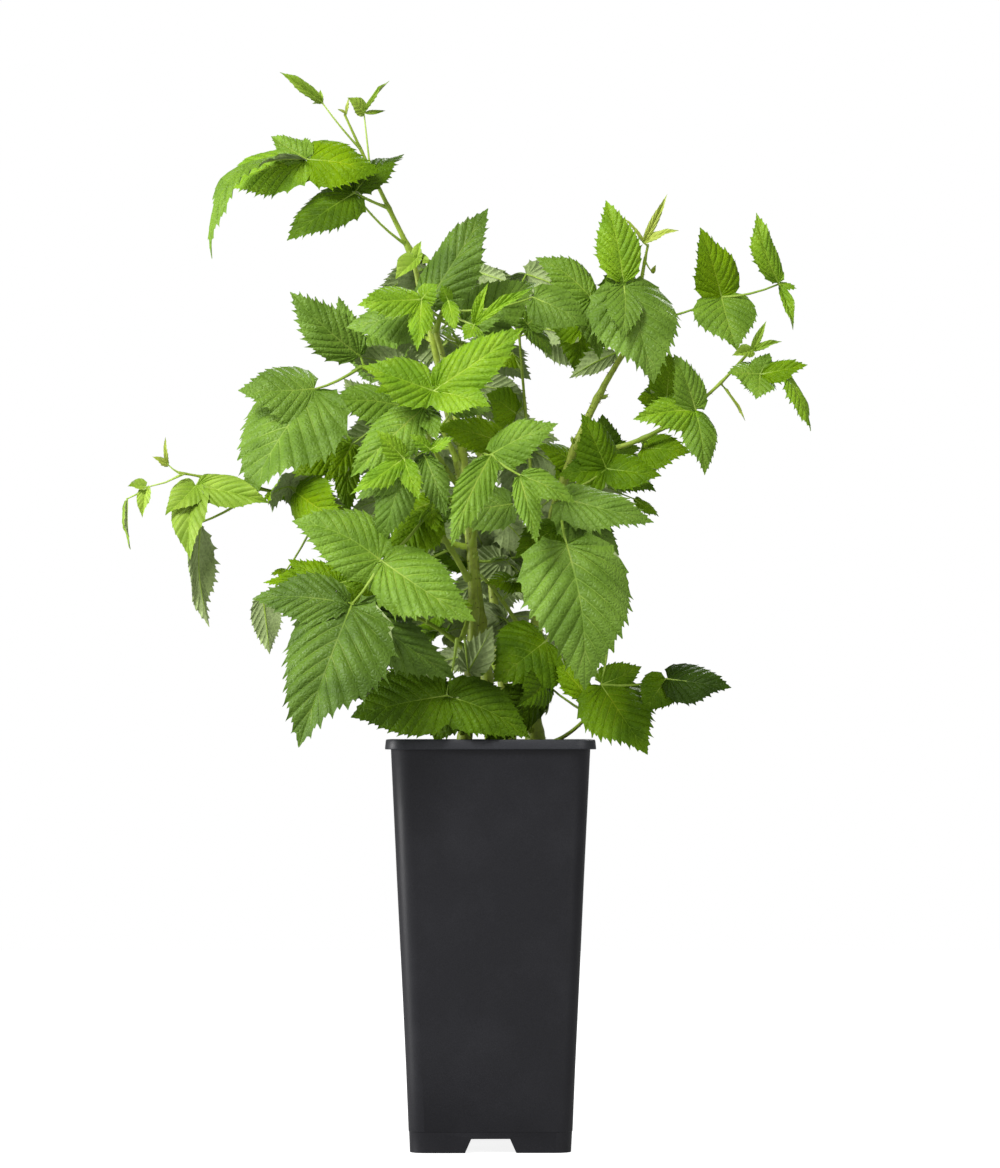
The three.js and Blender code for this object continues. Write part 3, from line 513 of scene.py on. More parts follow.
# A shoot's stem is (turn, fore, length), bowed upwards, with its thickness at both ends. A leaf is its
# greens (one for each leaflet, the last for the rest), its share of the stem, its stalk, then its leaflets
# (turn, fore, length, width, roll); a longer leaf goes on with a second stalk and leaflets.
shoots = {
    "highShoot": {"cane": "leftCane", "share": 1, "stem": (116, 13, 83), "bow": -2, "thick": (3.2, 1.2),
     "leaves": [
        ("young", 0.02, (310.9, 52.3, 11), [(77, 22, 10, 10), (225, 19, 18, 16), (336, 24, 10, 9)]),
        ("deep", 0.06, (138, 32.5, 44.8), [(217, 15, 46, 32), (44, -41, 48.3, 21)]),
        ("fresh light olive fresh", 0.34, (151.9, 26.6, 54.8), [(229, 19, 79, 26, 42),
         (195, -15, 51.7, 38.7, 10), (350, -4, 40.4, 33.1), (146, -15, 24.4, 18.7), (96, -42, 18, 10)]),
        ("young", 0.62, (96.2, 2.2, 30.7), [(50, 11, 22, 5), (141, 30, 13, 13), (9, -26, 13, 4, 60)]),
        ("young", 0.76, (131.4, 26.6, 33.8), [(146, 21, 29, 11), (99, -15, 8, 4), (181, -18, 6, 3)]),
        ("tip", 1, (25, 15.3, 0.9), [(80, 0, 9, 3), (156, 33, 6, 3)]),
    ]},
    "topShoot": {"cane": "centreCane", "share": 1, "stem": (63, 47, 22), "bow": 4, "thick": (3, 1.6),
     "leaves": [
        ("cool leaf", 0.15, (133.1, 27.4, 11.8), [(58, -7, 65, 32), (193, -6, 42.7, 34)]),
        ("light", 0.35, (141, 52, 20), [(187, 20, 36, 20), (266, 30, 33, 14), (43, 12, 12, 14)]),
        ("leaf", 0.3, (338, -13, 13), [(34, -28, 55, 35.2), (17, 13, 27, 14)]),
        ("light", 0.7, (326, 37, 24), [(71, 10, 24, 9), (30, 24, 40, 10), (238, 40, 13, 12)]),
        ("leaf", 0.6, (7, 12, 49), [(333, -4, 33, 28)]),
        ("light", 1, (84, 65, 2), [(115, 24, 10, 8), (283, 34, 21, 10)]),
    ]},
    "centreShoot": {"cane": "centreCane", "share": 0.62, "stem": (122, 41, 60), "bow": -8,
     "thick": (3.4, 2),
     "leaves": [
        ("light", 1, (51, 45, 20), [(162, 16, 41, 29), (35, 0, 57.3, 29), (343, 23, 34, 25)]),
        ("fresh", 0.92, (75, 55, 13), [(224, 9, 54, 30), (291, 32, 23, 14)]),
        ("light", 0.7, (216.4, 65.8, 41.4), [(215, 16, 35, 14), (135, 16, 21, 13), (290, 22, 26, 12)]),
        ("light", 0.8, (284, 74, 39), [(144, 17, 14, 8), (25, 25, 15, 8)]),
        ("leaf", 0.5, (205, 44, 31), [(253, 0, 38, 23), (207, -4, 27, 16)]),
        ("leaf", 0.4, (156, 71, 35), [(289, 4, 35, 16)]),
    ]},
    "frontShoot": {"cane": "centreCane", "share": 0.5, "stem": (82, 48, 66), "bow": -8, "thick": (3.2, 2),
     "leaves": [
        ("fresh", 1, (352, 71, 12), [(24, 12, 39, 25), (247, 21, 57, 20)], (322, 30, 21),
         [(284, 17, 40, 14), (333, 3, 33, 17)]),
        ("olive", 0.7, (64, -15, 28), [(168, 6, 37, 22)]),
        ("leaf", 0.5, (3, 19, 19), [(193, 12, 40, 27)]),
    ]},
    "rightFrontShoot": {"cane": "rightCane", "share": 0.5, "stem": (73, 65, 46), "bow": 8,
     "thick": (3.4, 2.2),
     "leaves": [
        ("leaf", 0.95, (274.3, 53.5, 46.7), [(277, 7, 79, 60)]),
        ("leaf", 1, (272.6, 73.4, 14.6), [(345, 4, 50, 29), (316, -23, 46, 30)]),
        ("dark", 1, (29.5, -44.7, 39.6), [(115, 10, 33, 27), (352, 6, 30, 25), (188, 12, 27, 24)]),
        ("dark", 0.6, (275, -6, 15), [(215, 14, 30, 22), (335, 8, 32, 24), (268, 12, 28, 20)]),
    ]},
    "lowLeftShoot": {"cane": "centreCane", "share": 0.42, "stem": (124, 37, 48), "bow": 4,
     "thick": (3.4, 2.6),
     "leaves": [
        ("fresh fresh cool", 1, (227.4, 33.3, 40.7), [(156, -3, 51.7, 40), (327, 15, 61, 40)],
         (236.7, 19.6, 29), [(177, -12, 54.1, 28.6), (250, 10, 81, 60.5), (324, -21, 71, 32)]),
        ("olive", 0.6, (204.1, -6, 60.5), [(155, -15, 32, 20), (179, -20, 44.5, 16), (338, -1, 20, 24)]),
        ("leaf", 0.4, (193, -8, 105), [(277, 6, 33, 17, 160)]),
    ]},
    "lowShoot": {"cane": "centreCane", "share": 0.36, "stem": (251, 45, 30), "bow": -12, "thick": (3, 2.2),
     "leaves": [
        ("deep", 1, (259, 14.8, 31.2), [(193, 6, 52, 45.1), (333, -2, 50, 35), (257, -27, 28.6, 32),
         (150, -31, 23, 22)]),
        ("dark", 0.5, (276, -4, 21), [(62, -4, 28, 20, 180)]),
    ]},
    "leftShoot": {"cane": "leftCane", "share": 0.72, "stem": (161, 21, 47), "bow": -4, "thick": (3, 1.8),
     "leaves": [
        ("leaf", 1, (208.4, 24.5, 30.2), [(239, 14, 72, 61), (182, 11, 42, 37.4)]),
        ("leaf", 0.94, (113.5, 18.4, 7.4), [(138, 14, 52, 28.1), (110, -9, 36, 15)]),
        ("fresh", 0.5, (266, 52, 20), [(181, 21, 39, 30)]),
        ("olive", 0.35, (223.2, 1, 43.8), [(235, 19, 29, 17), (266, 6, 42.9, 15.4), (208, -9, 42, 24)]),
    ]},
    "leftArm": {"cane": "leftCane", "share": 0.42, "stem": (166, 18, 164), "bow": 7, "thick": (3.6, 1.2),
     "leaves": [
        ("young", 0.92, (238.3, -7.6, 5.6), [(346, 11, 41.6, 23.4), (226, 24, 25, 21.8),
         (267, 18, 42.3, 24.2)]),
        ("leaf", 0.72, (210.8, 11.1, 37), [(275, 4, 56.4, 19.7, 120)]),
        ("young", 0.98, (201.3, 16.4, 22.1), [(178, 12, 10, 11), (264, 14, 17, 11)], (211.1, 0.7, 11.9),
         [(274, 4, 27.3, 6, 60)]),
        ("tip", 1, (143.7, 25.7, 7.4), [(94, 8, 15, 4), (153, 25, 10, 7)]),
        ("olive", 0.58, (133.8, -47.5, 10.2), [(201, 14, 17, 14, 20)]),
        ("olive", 0.5, (241.2, -4.9, 40.8), [(329, -6, 37, 20), (198, 25, 10, 6)]),
    ]},
    "rightTopShoot": {"cane": "rightCane", "share": 1, "stem": (81, 9, 51), "bow": 6, "thick": (3.6, 1.2),
     "leaves": [
        ("tip", 1, (154.5, 35.9, 3.2), [(130, 7, 17, 4), (64, 8, 29, 7), (17, 22, 21, 8)]),
        ("tip", 0.8, (301, 11, 8), [(66, 23, 5, 4)]),
        ("light leaf", 0.5, (187.7, 67.8, 25.7), [(102, 0, 46, 25.3), (286, 14, 58, 50.6),
         (266, 38, 40, 20)]),
        ("fresh", 0.3, (174.3, 37.7, 31.9), [(277, 7, 34, 20), (144, 0, 37, 23.7), (112, -14, 17, 9)]),
        ("olive fresh light", 0.15, (15, 13, 49), [(108, 9, 39.2, 30), (284, 25, 34, 37)], (12.4, 6.9, 31.4),
         [(108, 6, 40, 16.5), (347, -11, 10.3, 5), (286, 13, 27, 9.9)]),
        ("olive", 0.2, (185, -41, 36), [(259, -17, 27, 24), (172, -11, 22, 26)]),
        ("leaf", 0.1, (233, -45, 21), [(209, 8, 30, 14, 180)]),
    ]},
    "rightShoot": {"cane": "rightCane", "share": 0.7, "stem": (30, 14, 105), "bow": -26,
     "thick": (3.2, 1.4),
     "leaves": [
        ("light fresh", 0.72, (239.7, 61.7, 13.6), [(190, 18, 36, 22), (112, 9, 32, 21.5),
         (277, 15, 37, 20)]),
        ("olive fresh fresh fresh light", 0.95, (327.8, 33.4, 15.1), [(11, 10, 26, 14.3),
         (179, 20, 19, 20), (258, 40, 19, 18), (66, -9, 13, 14)],
         (1.2, 8.6, 14.1), [(292, 10, 34, 16.5, -28)]),
        ("young", 1, (32.4, 27.6, 2.8), [(17, 7, 17, 7), (64, 0, 18, 6.5), (196, 36, 14, 12)]),
        ("tip", 0.84, (311.3, -40, 4.4), [(302, 0, 21, 3)]),
        ("olive", 0.38, (259.2, -52, 8.3), [(354, 12, 27, 23.1)]),
        ("olive", 0.5, (82.2, -58.2, 34.9), [(86, -10, 26, 22), (182, -2, 15.9, 25), (44, -14, 10, 11)]),
    ]},
    "shadedShoot": {"cane": "rightCane", "share": 0.55, "stem": (52, -33, 43), "bow": 4, "thick": (3, 2),
     "leaves": [
        ("deep", 1, (68.9, -33, 4.1), [(89, -4, 23, 22), (170, -6, 18, 14), (11, -9, 23, 18)]),
        ("deep", 0.85, (357, 59, 12), [(333, 4, 31, 22)]),
        ("olive", 0.5, (104, -9, 12), [(158, 11, 22, 20), (228, 15, 16, 18)]),
        ("olive", 0.7, (330.5, 5.6, 29), [(325, -6, 17, 9)]),
    ]},
    "lowRightShoot": {"cane": "rightCane", "share": 0.42, "stem": (314, 25, 49), "bow": 8,
     "thick": (3, 2.2),
     "leaves": [
        ("dark", 0.25, (254, 23, 40), [(218, 12, 37, 44.8)]),
        ("dark dark shade dark", 1, (261.9, 16.9, 34.1), [(303, 22, 48, 42), (24, -16, 25, 19.4)],
         (5, 12, 35.6), [(352, 9, 35, 26), (235, 0, 22, 21.8)]),
    ]},
    "basalShoot": {"cane": "rightCane", "share": 0.04, "stem": (34, 39, 37), "bow": -6, "thick": (2.6, 1.8),
     "leaves": [
        ("olive", 1, (62.1, 18.7, 6.4), [(130, -13, 37, 16)]),
    ]},
    "thinShoot": {"cane": "rightCane", "share": 0.45, "stem": (95, -10, 121), "bow": -8,
     "thick": (2.2, 1.4),
     "leaves": [
        ("olive", 0.7, (221, -23, 7), [(147, 11, 20, 32)]),
        ("olive", 0.85, (116, -26, 13), [(226, 11, 11, 15)]),
        ("fresh", 1, (51, -19, 8), [(137, 14, 17, 16), (45, 8, 14, 17), (308, -10, 22, 15)]),
    ]},
}
# Shoots at the back and in the middle, whose leaves are dealt out round the stem in two greens; "open" is
# the (leaf, leaflet) left out where the crown is open.
dealtNames = ("cane", "share", "stem", "bow", "thick", "count", "size", "tones", "open")
dealtShoots = {name: dict(zip(dealtNames, values)) for name, *values in (
    ("backTop", "backCane", 1, (140, -30, 32), 4, (3, 1.4), 4, 42, ("light", "fresh"), ((0, 1),)),
    ("backLeft", "backCane", 0.78, (168, -40, 58), 8, (3.2, 1.6), 5, 50, ("leaf", "fresh"), ()),
    ("backRight", "backCane", 0.62, (90, -66, 54), 8, (3.2, 1.6), 5, 48, ("leaf", "olive"), ()),
    ("backMiddle", "backCane", 0.44, (132, -70, 62), 12, (3.2, 1.6), 5, 50, ("leaf", "olive"), ()),
    ("backLow", "backCane", 0.22, (140, -54, 48), 10, (3, 1.6), 4, 50, ("dark", "olive"), ()),
    ("leftBack", "leftCane", 0.5, (155, -24, 46), 6, (3, 1.4), 4, 42, ("olive", "leaf"), ()),
    ("rightBack", "rightCane", 0.34, (100, -62, 44), 4, (3, 1.4), 4, 40, ("olive", "dark"), ((0, 0),)),
    # innerLeft and innerRight take the dark green as painted shade for the inside of the crown
    ("innerLeft", "centreCane", 0.26, (150, 6, 38), 4, (2.8, 1.4), 3, 44, ("dark", "olive"), ()),
    ("innerRight", "rightCane", 0.26, (125, 14, 38), 4, (2.8, 1.4), 3, 38, ("dark", "olive"), ()),
    ("innerFront", "centreCane", 0.7, (120, 16, 30), 4, (2.8, 1.4), 3, 38, ("olive", "leaf"), ()),
)}
# Leaves between the others: (stem or cane, green, share, heading, climb, hang, longest leaflet, stalk).
innerLeaves = (
    ("basalShoot", "deep", 1, 175, 35, -45, 46, 30),
    ("leftBack", "deep", 0.2, 10, -20, -75, 46, 33),
    ("backRight", "fresh", 0.77, 55, 25, -75, 46, 42),
    ("leftArm", "olive", 0.66, 325, 20, -30, 46, 9),
    ("backTop", "fresh", 0.14, 20, 55, -45, 46, 57),
    ("leftCane", "olive", 0.39, 355, 10, 35, 46, 39),
    ("backCane", "dark", 0.53, 355, 35, 5, 46, 60),
    ("leftShoot", "fresh", 0.64, 35, 0, -30, 40, 60),
    ("leftShoot", "fresh", 0.23, 140, 45, 20, 44, 18),
    ("backTop", "fresh", 0.41, 230, 55, -60, 44, 51),
    ("backTop", "fresh", 1, 20, 55, -35, 32, 42),
    ("backTop", "olive", 0.48, 0, 10, -45, 36, 48),
    ("frontShoot", "olive", 0.23, 205, 30, -60, 46, 27),
    ("centreCane", "fresh", 0.19, 190, -5, 20, 46, 48),
    ("rightTopShoot", "fresh", 0.31, 190, 75, -50, 42, 21),
    ("backLeft", "fresh", 0.84, 160, 25, 45, 30, 22),
    ("rightBack", "dark", 0.92, 190, 20, 40, 46, 27),
)
dealtPlan = {
    "stalkShare": 0.5, "wide": 0.66, "sideLeaflet": 0.78, "sideWide": 0.6, "sideTurn": 68, "turnStep": 144,
    "turnSpread": 30, "hang": 12, "hangSpread": 24, "leans": (0, 20, -20, 40), "seed": 100, "growSeed": 300,
}
facePlan = {"up": 0.5, "away": 0.25, "ahead": 0.85}  # how far a leaflet looks up, outwards and ahead


def unit(v):
    return v / max(np.linalg.norm(v), 1e-9)


def direction(turn, fore):
    flat = math.cos(math.radians(fore))
    angle = math.radians(turn)
    return np.array([flat * math.cos(angle), -math.sin(math.radians(fore)), flat * math.sin(angle)])


def turned(v, axis, degrees):
    angle = math.radians(degrees)
    return (v * math.cos(angle) + np.cross(axis, v) * math.sin(angle)
            + axis * np.dot(axis, v) * (1 - math.cos(angle)))


def curvePoint(curve, share):
    start, pull, end = curve
    return start * (1 - share) ** 2 + pull * 2 * share * (1 - share) + end * share ** 2


def curveTangent(curve, share):
    start, pull, end = curve
    return unit((pull - start) * (1 - share) + (end - pull) * share)


def bowed(start, end, bow):
    return start, (start + end) / 2 + upward * bow, end


def caneRadius(cane, share):
    first, last = cane["thick"]
    flare = canePlan["flare"] * max(0.0, 1 - share / canePlan["flareEnd"])
    return (first + (last - first) * share) / 2 * (1 + flare)


for cane in canes.values():
    foot = np.array([*cane["foot"], soilTop + seatGap], float)
    cane["curve"] = (foot, np.array(cane["belly"], float), np.array(cane["tip"], float))


def angles(heading, climb):  # compass heading and climb as turn and fore
    flat = math.cos(climb)
    x, y, z = flat * math.cos(heading), flat * math.sin(heading), math.sin(climb)
    return math.degrees(math.atan2(z, x)), math.degrees(math.asin(-y))


def dice(seed):
    state = [seed]

    def roll():
        state[0] = (state[0] * 1664525 + 1013904223) % 2 ** 32
        return state[0] / 2 ** 32
    return roll


def threeBlades(heading, hang, long):  # an end leaflet and one at each side of it
    blades = [(*angles(heading, hang), long, dealtPlan["wide"] * long)]
    small = long * dealtPlan["sideLeaflet"]
    for side in (-1, 1):
        aside = heading + side * math.radians(dealtPlan["sideTurn"])
        blades.append((*angles(aside, hang / 2), small, dealtPlan["sideWide"] * small))
    return blades


def dealLeaves(shoot, seed):
    p = dealtPlan
    chance = dice(seed)
    stem = direction(*shoot["stem"][:2])
    beside = unit(np.cross(stem, upward))
    above = np.cross(beside, stem)
    rows = []
    for i in range(shoot["count"]):
        share = 0.15 + 0.85 * i / (shoot["count"] - 1)
        turn = math.radians(p["turnStep"] * i + p["turnSpread"] * chance())
        spread = math.radians(8 if i == shoot["count"] - 1 else 86 - 40 * share)
        around = beside * math.cos(turn) + above * math.sin(turn)
        out = stem * math.cos(spread) + around * math.sin(spread)
        heading, climb = math.atan2(out[1], out[0]), math.asin(out[2])
        long = shoot["size"] * (1.05 - 0.4 * share) * (0.9 + 0.2 * chance())
        hang = 0.5 * climb - math.radians(p["hang"] + p["hangSpread"] * chance())
        stalk = (*angles(heading, climb), long * p["stalkShare"])
        blades = [blade for k, blade in enumerate(threeBlades(heading, hang, long))
                  if (i, k) not in shoot["open"]]
        rows.append((shoot["tones"][i % 2], share, stalk, blades))
    return rows


def seatStem(shoot):  # where a stem leaves its cane, by the same rule as its solid
    cane = canes[shoot["cane"]]
    turn, fore, length = shoot["stem"]
    out = direction(turn, fore)
    lead = unit(out * length / 2 + upward * shoot["bow"])
    rise = curveTangent(cane["curve"], shoot["share"])
    slope = float(np.dot(lead, rise))
    thick = shoot["thick"][0] / 2
    start = curvePoint(cane["curve"], shoot["share"])
    if shoot["share"] == 1:
        start = start + rise * (seatGap + thick * math.sqrt(1 - slope * slope))
    else:
        beside = unit(lead - rise * slope)
        start = start + beside * (caneRadius(cane, shoot["share"]) + seatGap + thick * abs(slope))
    shoot["curve"] = bowed(start, start + out * length, shoot["bow"])
    shoot["lead"] = lead


allShoots = {**shoots, **dealtShoots}
for number, shoot in enumerate(allShoots.values()):
    seatStem(shoot)
    if "count" in shoot:
        shoot["leaves"] = dealLeaves(shoot, dealtPlan["seed"] + number)


def facing(base, along, outward, roll):  # where a leaflet's upper face looks
    away = unit(np.array([base[0], base[1], 0.0]))
    look = upward * facePlan["up"] + away * facePlan["away"]
    look = look + (away if outward else np.array([0.0, -1.0, 0.0])) * facePlan["ahead"]
    return turned(unit(look - along * np.dot(look, along)), along, roll)


# leaflets: toothed, pleated blades whose side veins run steeply forward to the main teeth

leafPlan = {
    "arch": 0.09, "frontLift": 0.35, "slimAt": 2.9, "slimArch": 2.8, "endNeck": 0.16, "sideNeck": 0.015,
    "neckThick": 0.5, "pleat": 0.17, "pleatSpread": (0.8, 1.2), "tooth": 0.042, "toothBase": 0.45,
    "toothSpread": (0.8, 1.15), "youngTooth": 0.35, "toothLean": 0.55, "veinHalf": 0.034,
    "firstVein": 0.02, "veinSpan": 0.84, "veinReach": 0.36, "fan": 3, "thick": 0.28, "thickShare": 0.002,
    "fold": (4, 16), "youngFold": 55, "droop": 0.34, "droopSpread": (0.5, 1.3), "wave": 0.03, "twist": 9,
    "bend": 0.025, "tipCurl": 0.06, "curlSpread": (0.2, 1.4), "lopsided": 0.04, "smoothAngle": 75,
}
# half a leaflet's outline, as (share of the length, share of the half width)
outlines = {
    "broad": ((0, 0), (-0.05, 0.46), (0.1, 0.89), (0.3, 1), (0.48, 0.88), (0.66, 0.58), (0.84, 0.25),
              (1, 0)),
    "side": ((0, 0), (0.04, 0.5), (0.18, 0.86), (0.36, 1), (0.54, 0.87), (0.7, 0.59), (0.86, 0.25),
             (1, 0)),
}
# how finely a leaflet of at least this length is made: side veins, (place, tooth) between two of them,
# and rows from the midrib to the margin
fineTeeth = ((0.08, 0.35), (0.2, -0.05), (0.44, 0.38), (0.56, 0.02), (0.77, 0.45), (0.91, 0.88))
leafGrades = (
    (46, 7, fineTeeth, (0.2, 0.42, 0.64, 0.85, 1)),
    (31, 6, fineTeeth, (0.25, 0.5, 0.78, 1)),
    (19, 5, ((0.15, -0.1), (0.48, 0.25), (0.6, -0.05), (0.87, 0.68)), (0.3, 0.68, 1)),
    (11, 4, ((0.15, -0.1), (0.48, 0.25), (0.6, -0.05), (0.87, 0.68)), (0.4, 1)),
    (0, 3, ((0.3, -0.2),), (0.5, 1)),
)


def outlineAt(kind, share):
    knots = np.array(outlines[kind], float)
    place = np.clip(share, 0, 1) * (len(knots) - 1)
    i = np.minimum(place.astype(int), len(knots) - 2)
    f = (place - i)[:, None]
    before, here = knots[np.maximum(i - 1, 0)], knots[i]
    there, after = knots[i + 1], knots[np.minimum(i + 2, len(knots) - 1)]
    return 0.5 * (2 * here + (there - before) * f + (2 * before - 5 * here + 4 * there - after) * f ** 2
                  + (3 * here - before - 3 * there + after) * f ** 3)


def veinKnots(kind, veins):  # where each vein leaves the midrib, and the outline share that it runs to
    p = leafPlan
    fan = min(p["fan"], veins - 1)
    shares = np.linspace(0, 1, 201)
    reached = outlineAt(kind, shares)[:, 0]
    starts = p["firstVein"] + p["veinSpan"] * (np.arange(veins) / veins) ** 1.06
    ends = starts + p["veinReach"] * (1 - starts) ** 0.6
    ends = np.interp(ends, reached[60:], shares[60:])
    low = np.arange(fan + 1) / (fan + 1)
    starts = np.concatenate([low * starts[0], starts, [1.0]])
    return starts, np.concatenate([low * ends[0], ends, [1.0]]), fan


def leafColumns(veins, fan, steps):  # (place counted in veins, which edge of a vein, tooth)
    columns = []
    for vein in range(veins + fan + 1):
        low = 0.0 if vein < 1 else 0.45 if vein <= fan else 1.0
        if vein:
            strength = 0.35 + 0.12 * vein if vein <= fan else 1.0
            columns += [(vein, -1, strength), (vein, 1, strength * 0.75)]
        between = steps if vein >= fan else steps[1::2]
        columns += [(vein + phase, 0, tooth * low) for phase, tooth in between]
    return columns


def skinFaces(columns, width, root, mark):  # both sides of a blade, and the material of each face
    count, tip, middle = len(columns), root + 1, width // 2
    topId = np.arange(count * width).reshape(count, width)
    underId = topId.copy()
    underId[:, 1:-1] = count * width + np.arange(count * (width - 2)).reshape(count, width - 2)
    faces, marks = [], []
    for k in range(-1, count):
        veinStrip = 0 <= k < count - 1 and columns[k][1] == -1
        for u in range(width - 1):
            onVein = u in (middle - 1, middle) or veinStrip and abs(u - middle + 0.5) < 0.65 * middle
            if k < 0:
                faces += [(root, topId[0, u], topId[0, u + 1]), (root, underId[0, u + 1], underId[0, u])]
            elif k == count - 1:
                faces += [(tip, topId[k, u + 1], topId[k, u]), (tip, underId[k, u], underId[k, u + 1])]
            else:
                faces += [(topId[k, u], topId[k + 1, u], topId[k + 1, u + 1], topId[k, u + 1]),
                          (underId[k, u + 1], underId[k + 1, u + 1], underId[k + 1, u], underId[k, u])]
            marks += [mark + onVein, mark + 2]
    return faces, marks


def makeLeaflet(base, along, face, long, wide, neck, kind, young, chance, mark, outward):
    p = leafPlan
    veins, steps, rows = next(grade[1:] for grade in leafGrades if long >= grade[0])
    starts, ends, fan = veinKnots(kind, veins)
    columns = leafColumns(veins, fan, steps)
    across = np.cross(face, along)
    body = long * (1 - neck)
    toothHigh = (p["tooth"] * min(long, 1.7 * wide) + p["toothBase"]) * chance.uniform(*p["toothSpread"])
    if young:
        toothHigh *= p["youngTooth"]
    half = max(wide / 2 - toothHigh * 0.3, 0.25 * wide)
    ribHalf = min(0.15 + 0.005 * long, 0.1 * half)
    shares = [ribHalf / half] + list(rows)
    foldAngle = p["youngFold"] - wide if young else chance.uniform(*p["fold"])
    foldAngle = math.radians(foldAngle)
    fold, shut = math.sin(foldAngle), math.cos(foldAngle)
    droop = p["droop"] * chance.uniform(*p["droopSpread"])
    twist = math.radians(chance.normal(0, p["twist"]))
    wavePhase = chance.uniform(0, 2 * math.pi, 2)
    bend = chance.normal(0, p["bend"])
    lopsided = chance.normal(0, p["lopsided"])
    curl = p["tipCurl"] * chance.uniform(*p["curlSpread"])
    slim = p["slimArch"] if long / wide > p["slimAt"] and wide > 15 else 1.0
    pleat = p["pleat"] * long * p["veinSpan"] / veins * chance.uniform(*p["pleatSpread"])
    thick = p["thick"] + p["thickShare"] * long

    place = np.array([c[0] for c in columns], float)
    side = np.array([c[1] for c in columns], float)
    tooth = np.array([c[2] for c in columns], float)
    phase = np.where(side == 0, place - np.floor(place), 0)
    top = np.zeros((len(columns), 2 * len(shares) + 1, 3))
    for flank in (-1, 1):
        rough = tooth * np.where(side < 1, chance.uniform(0.75, 1.25, len(columns)), 1)
        for row, v in enumerate([0.0] + shares):
            spot = place + side * p["veinHalf"] * (1.3 - 0.9 * v)
            rib = np.interp(spot, np.arange(len(starts)), starts)
            share = np.interp(spot, np.arange(len(ends)), ends)
            margin = outlineAt(kind, share)
            tangent = outlineAt(kind, share + 0.01) - outlineAt(kind, share - 0.01)
            tangent *= np.array([body, half])
            tangent /= np.maximum(np.linalg.norm(tangent, axis=1, keepdims=True), 1e-6)
            push = toothHigh * rough * np.minimum(1, 6 * (1 - share))
            push *= 1.0 if v == 1 else 0.75 * max(0.0, v - 0.6)
            lean = p["toothLean"]
            x = (rib + (margin[:, 0] - rib) * v ** 1.08) * body
            x += (tangent[:, 0] * lean - tangent[:, 1]) * push
            y = margin[:, 1] * v * half + (tangent[:, 1] * lean + tangent[:, 0]) * push
            y *= 1 + flank * lopsided
            ramp = min(1.0, v / 0.3) * (1 - 0.4 * max(0.0, v - 0.6) / 0.4)
            calm = np.minimum(1.0, 4 * np.minimum(share + 0.1, 1 - share))
            z = pleat * ramp * calm * np.sin(np.pi * phase) ** 0.75
            z = z + fold * y - (droop + fold * 0.3) * y * y / half
            z = z + p["wave"] * long * v ** 2 * calm * (np.sin(9 * share + wavePhase[(flank + 1) // 2])
                                                        + 0.5 * np.sin(17 * share + wavePhase[0]))
            top[:, len(shares) + flank * row] = np.stack([x, flank * y * shut, z], axis=1)

    lift = face  # the blade arches along its face, but a leaflet at the front more towards the front
    if not outward and slim == 1:
        lift = face * p["frontLift"] + np.array([0, -1 + p["frontLift"], 0]) * max(0.0, -face[1])

    def laid(points):  # bends the flat blade along its arch, with its twist and tip curl
        x, y, z = points[..., 0], points[..., 1], points[..., 2]
        share = neck + (1 - neck) * x / body
        y = y + bend * long * np.sin(np.pi * np.clip(x / body, 0, 1))
        roll = twist * (x / body)
        y, z = y * np.cos(roll) - z * np.sin(roll), y * np.sin(roll) + z * np.cos(roll)
        far = np.clip(x / body, 0, 1)
        rise = p["arch"] * slim * long * 4 * share * (1 - share) + curl * long * (far - far ** 4)
        return (base + along * (share * long)[..., None] + across * y[..., None]
                + face * z[..., None] + lift * rise[..., None])

    under = top[:, 1:-1].copy()
    under[..., 2] -= thick
    ends = np.array([[0, 0, -thick / 2], [body, 0, 0]], float)
    points = np.vstack([laid(top).reshape(-1, 3), laid(under).reshape(-1, 3), laid(ends)])
    blade = (points, *skinFaces(columns, top.shape[1], len(points) - 2, mark))

    # its own short stalk, which runs on under the blade as the midrib
    ribPath = [base - along * 0.3]
    for share in np.linspace(0, 0.88, 7 if long > 19 else 4)[1:]:
        x = max(0.0, (share - neck) / (1 - neck)) * body
        spot = laid(np.array([x, 0.0, 0.0]))
        ribPath.append(spot - face * (thick * 0.9))
    if neck * long > 2:
        ribPath.insert(1, laid(np.array([-0.02 * body, 0.0, -thick])))
    neckRound = min(p["neckThick"] * 1.15, 0.055 * long + 0.12)
    return blade, (np.array(ribPath), np.linspace(neckRound, 0.12, len(ribPath)))


def makeTube(path, radii, sides, mark, domed=True):
    path = np.asarray(path, float)
    tangents = np.gradient(path, axis=0)
    tangents /= np.maximum(np.linalg.norm(tangents, axis=1, keepdims=True), 1e-9)
    guide = np.array([0.0, 1.0, 0.0]) if abs(tangents[:, 1]).max() < 0.85 else np.array([1.0, 0.0, 0.0])
    if abs(tangents @ guide).max() > 0.95:
        guide = upward
    first = np.cross(guide, tangents)
    first /= np.linalg.norm(first, axis=1, keepdims=True)
    second = np.cross(tangents, first)
    turn = np.arange(sides) * 2 * math.pi / sides
    radii = np.asarray(radii, float)[:, None, None]
    rings = (path[:, None] + first[:, None] * np.cos(turn)[None, :, None] * radii
             + second[:, None] * np.sin(turn)[None, :, None] * radii)
    count = len(path)
    grow = radii[-1, 0, 0] * (0.6 if domed else 0.0)
    ends = np.array([path[0] - tangents[0] * radii[0, 0, 0] * 0.3, path[-1] + tangents[-1] * grow])
    points = np.vstack([rings.reshape(-1, 3), ends])
    faces = []
    for k in range(count - 1):
        for s in range(sides):
            t = (s + 1) % sides
            faces.append((k * sides + s, k * sides + t, (k + 1) * sides + t, (k + 1) * sides + s))
    last = (count - 1) * sides
    for s in range(sides):
        t = (s + 1) % sides
        faces += [(count * sides, t, s), (count * sides + 1, last + s, last + t)]
    return points, faces, [mark] * len(faces)


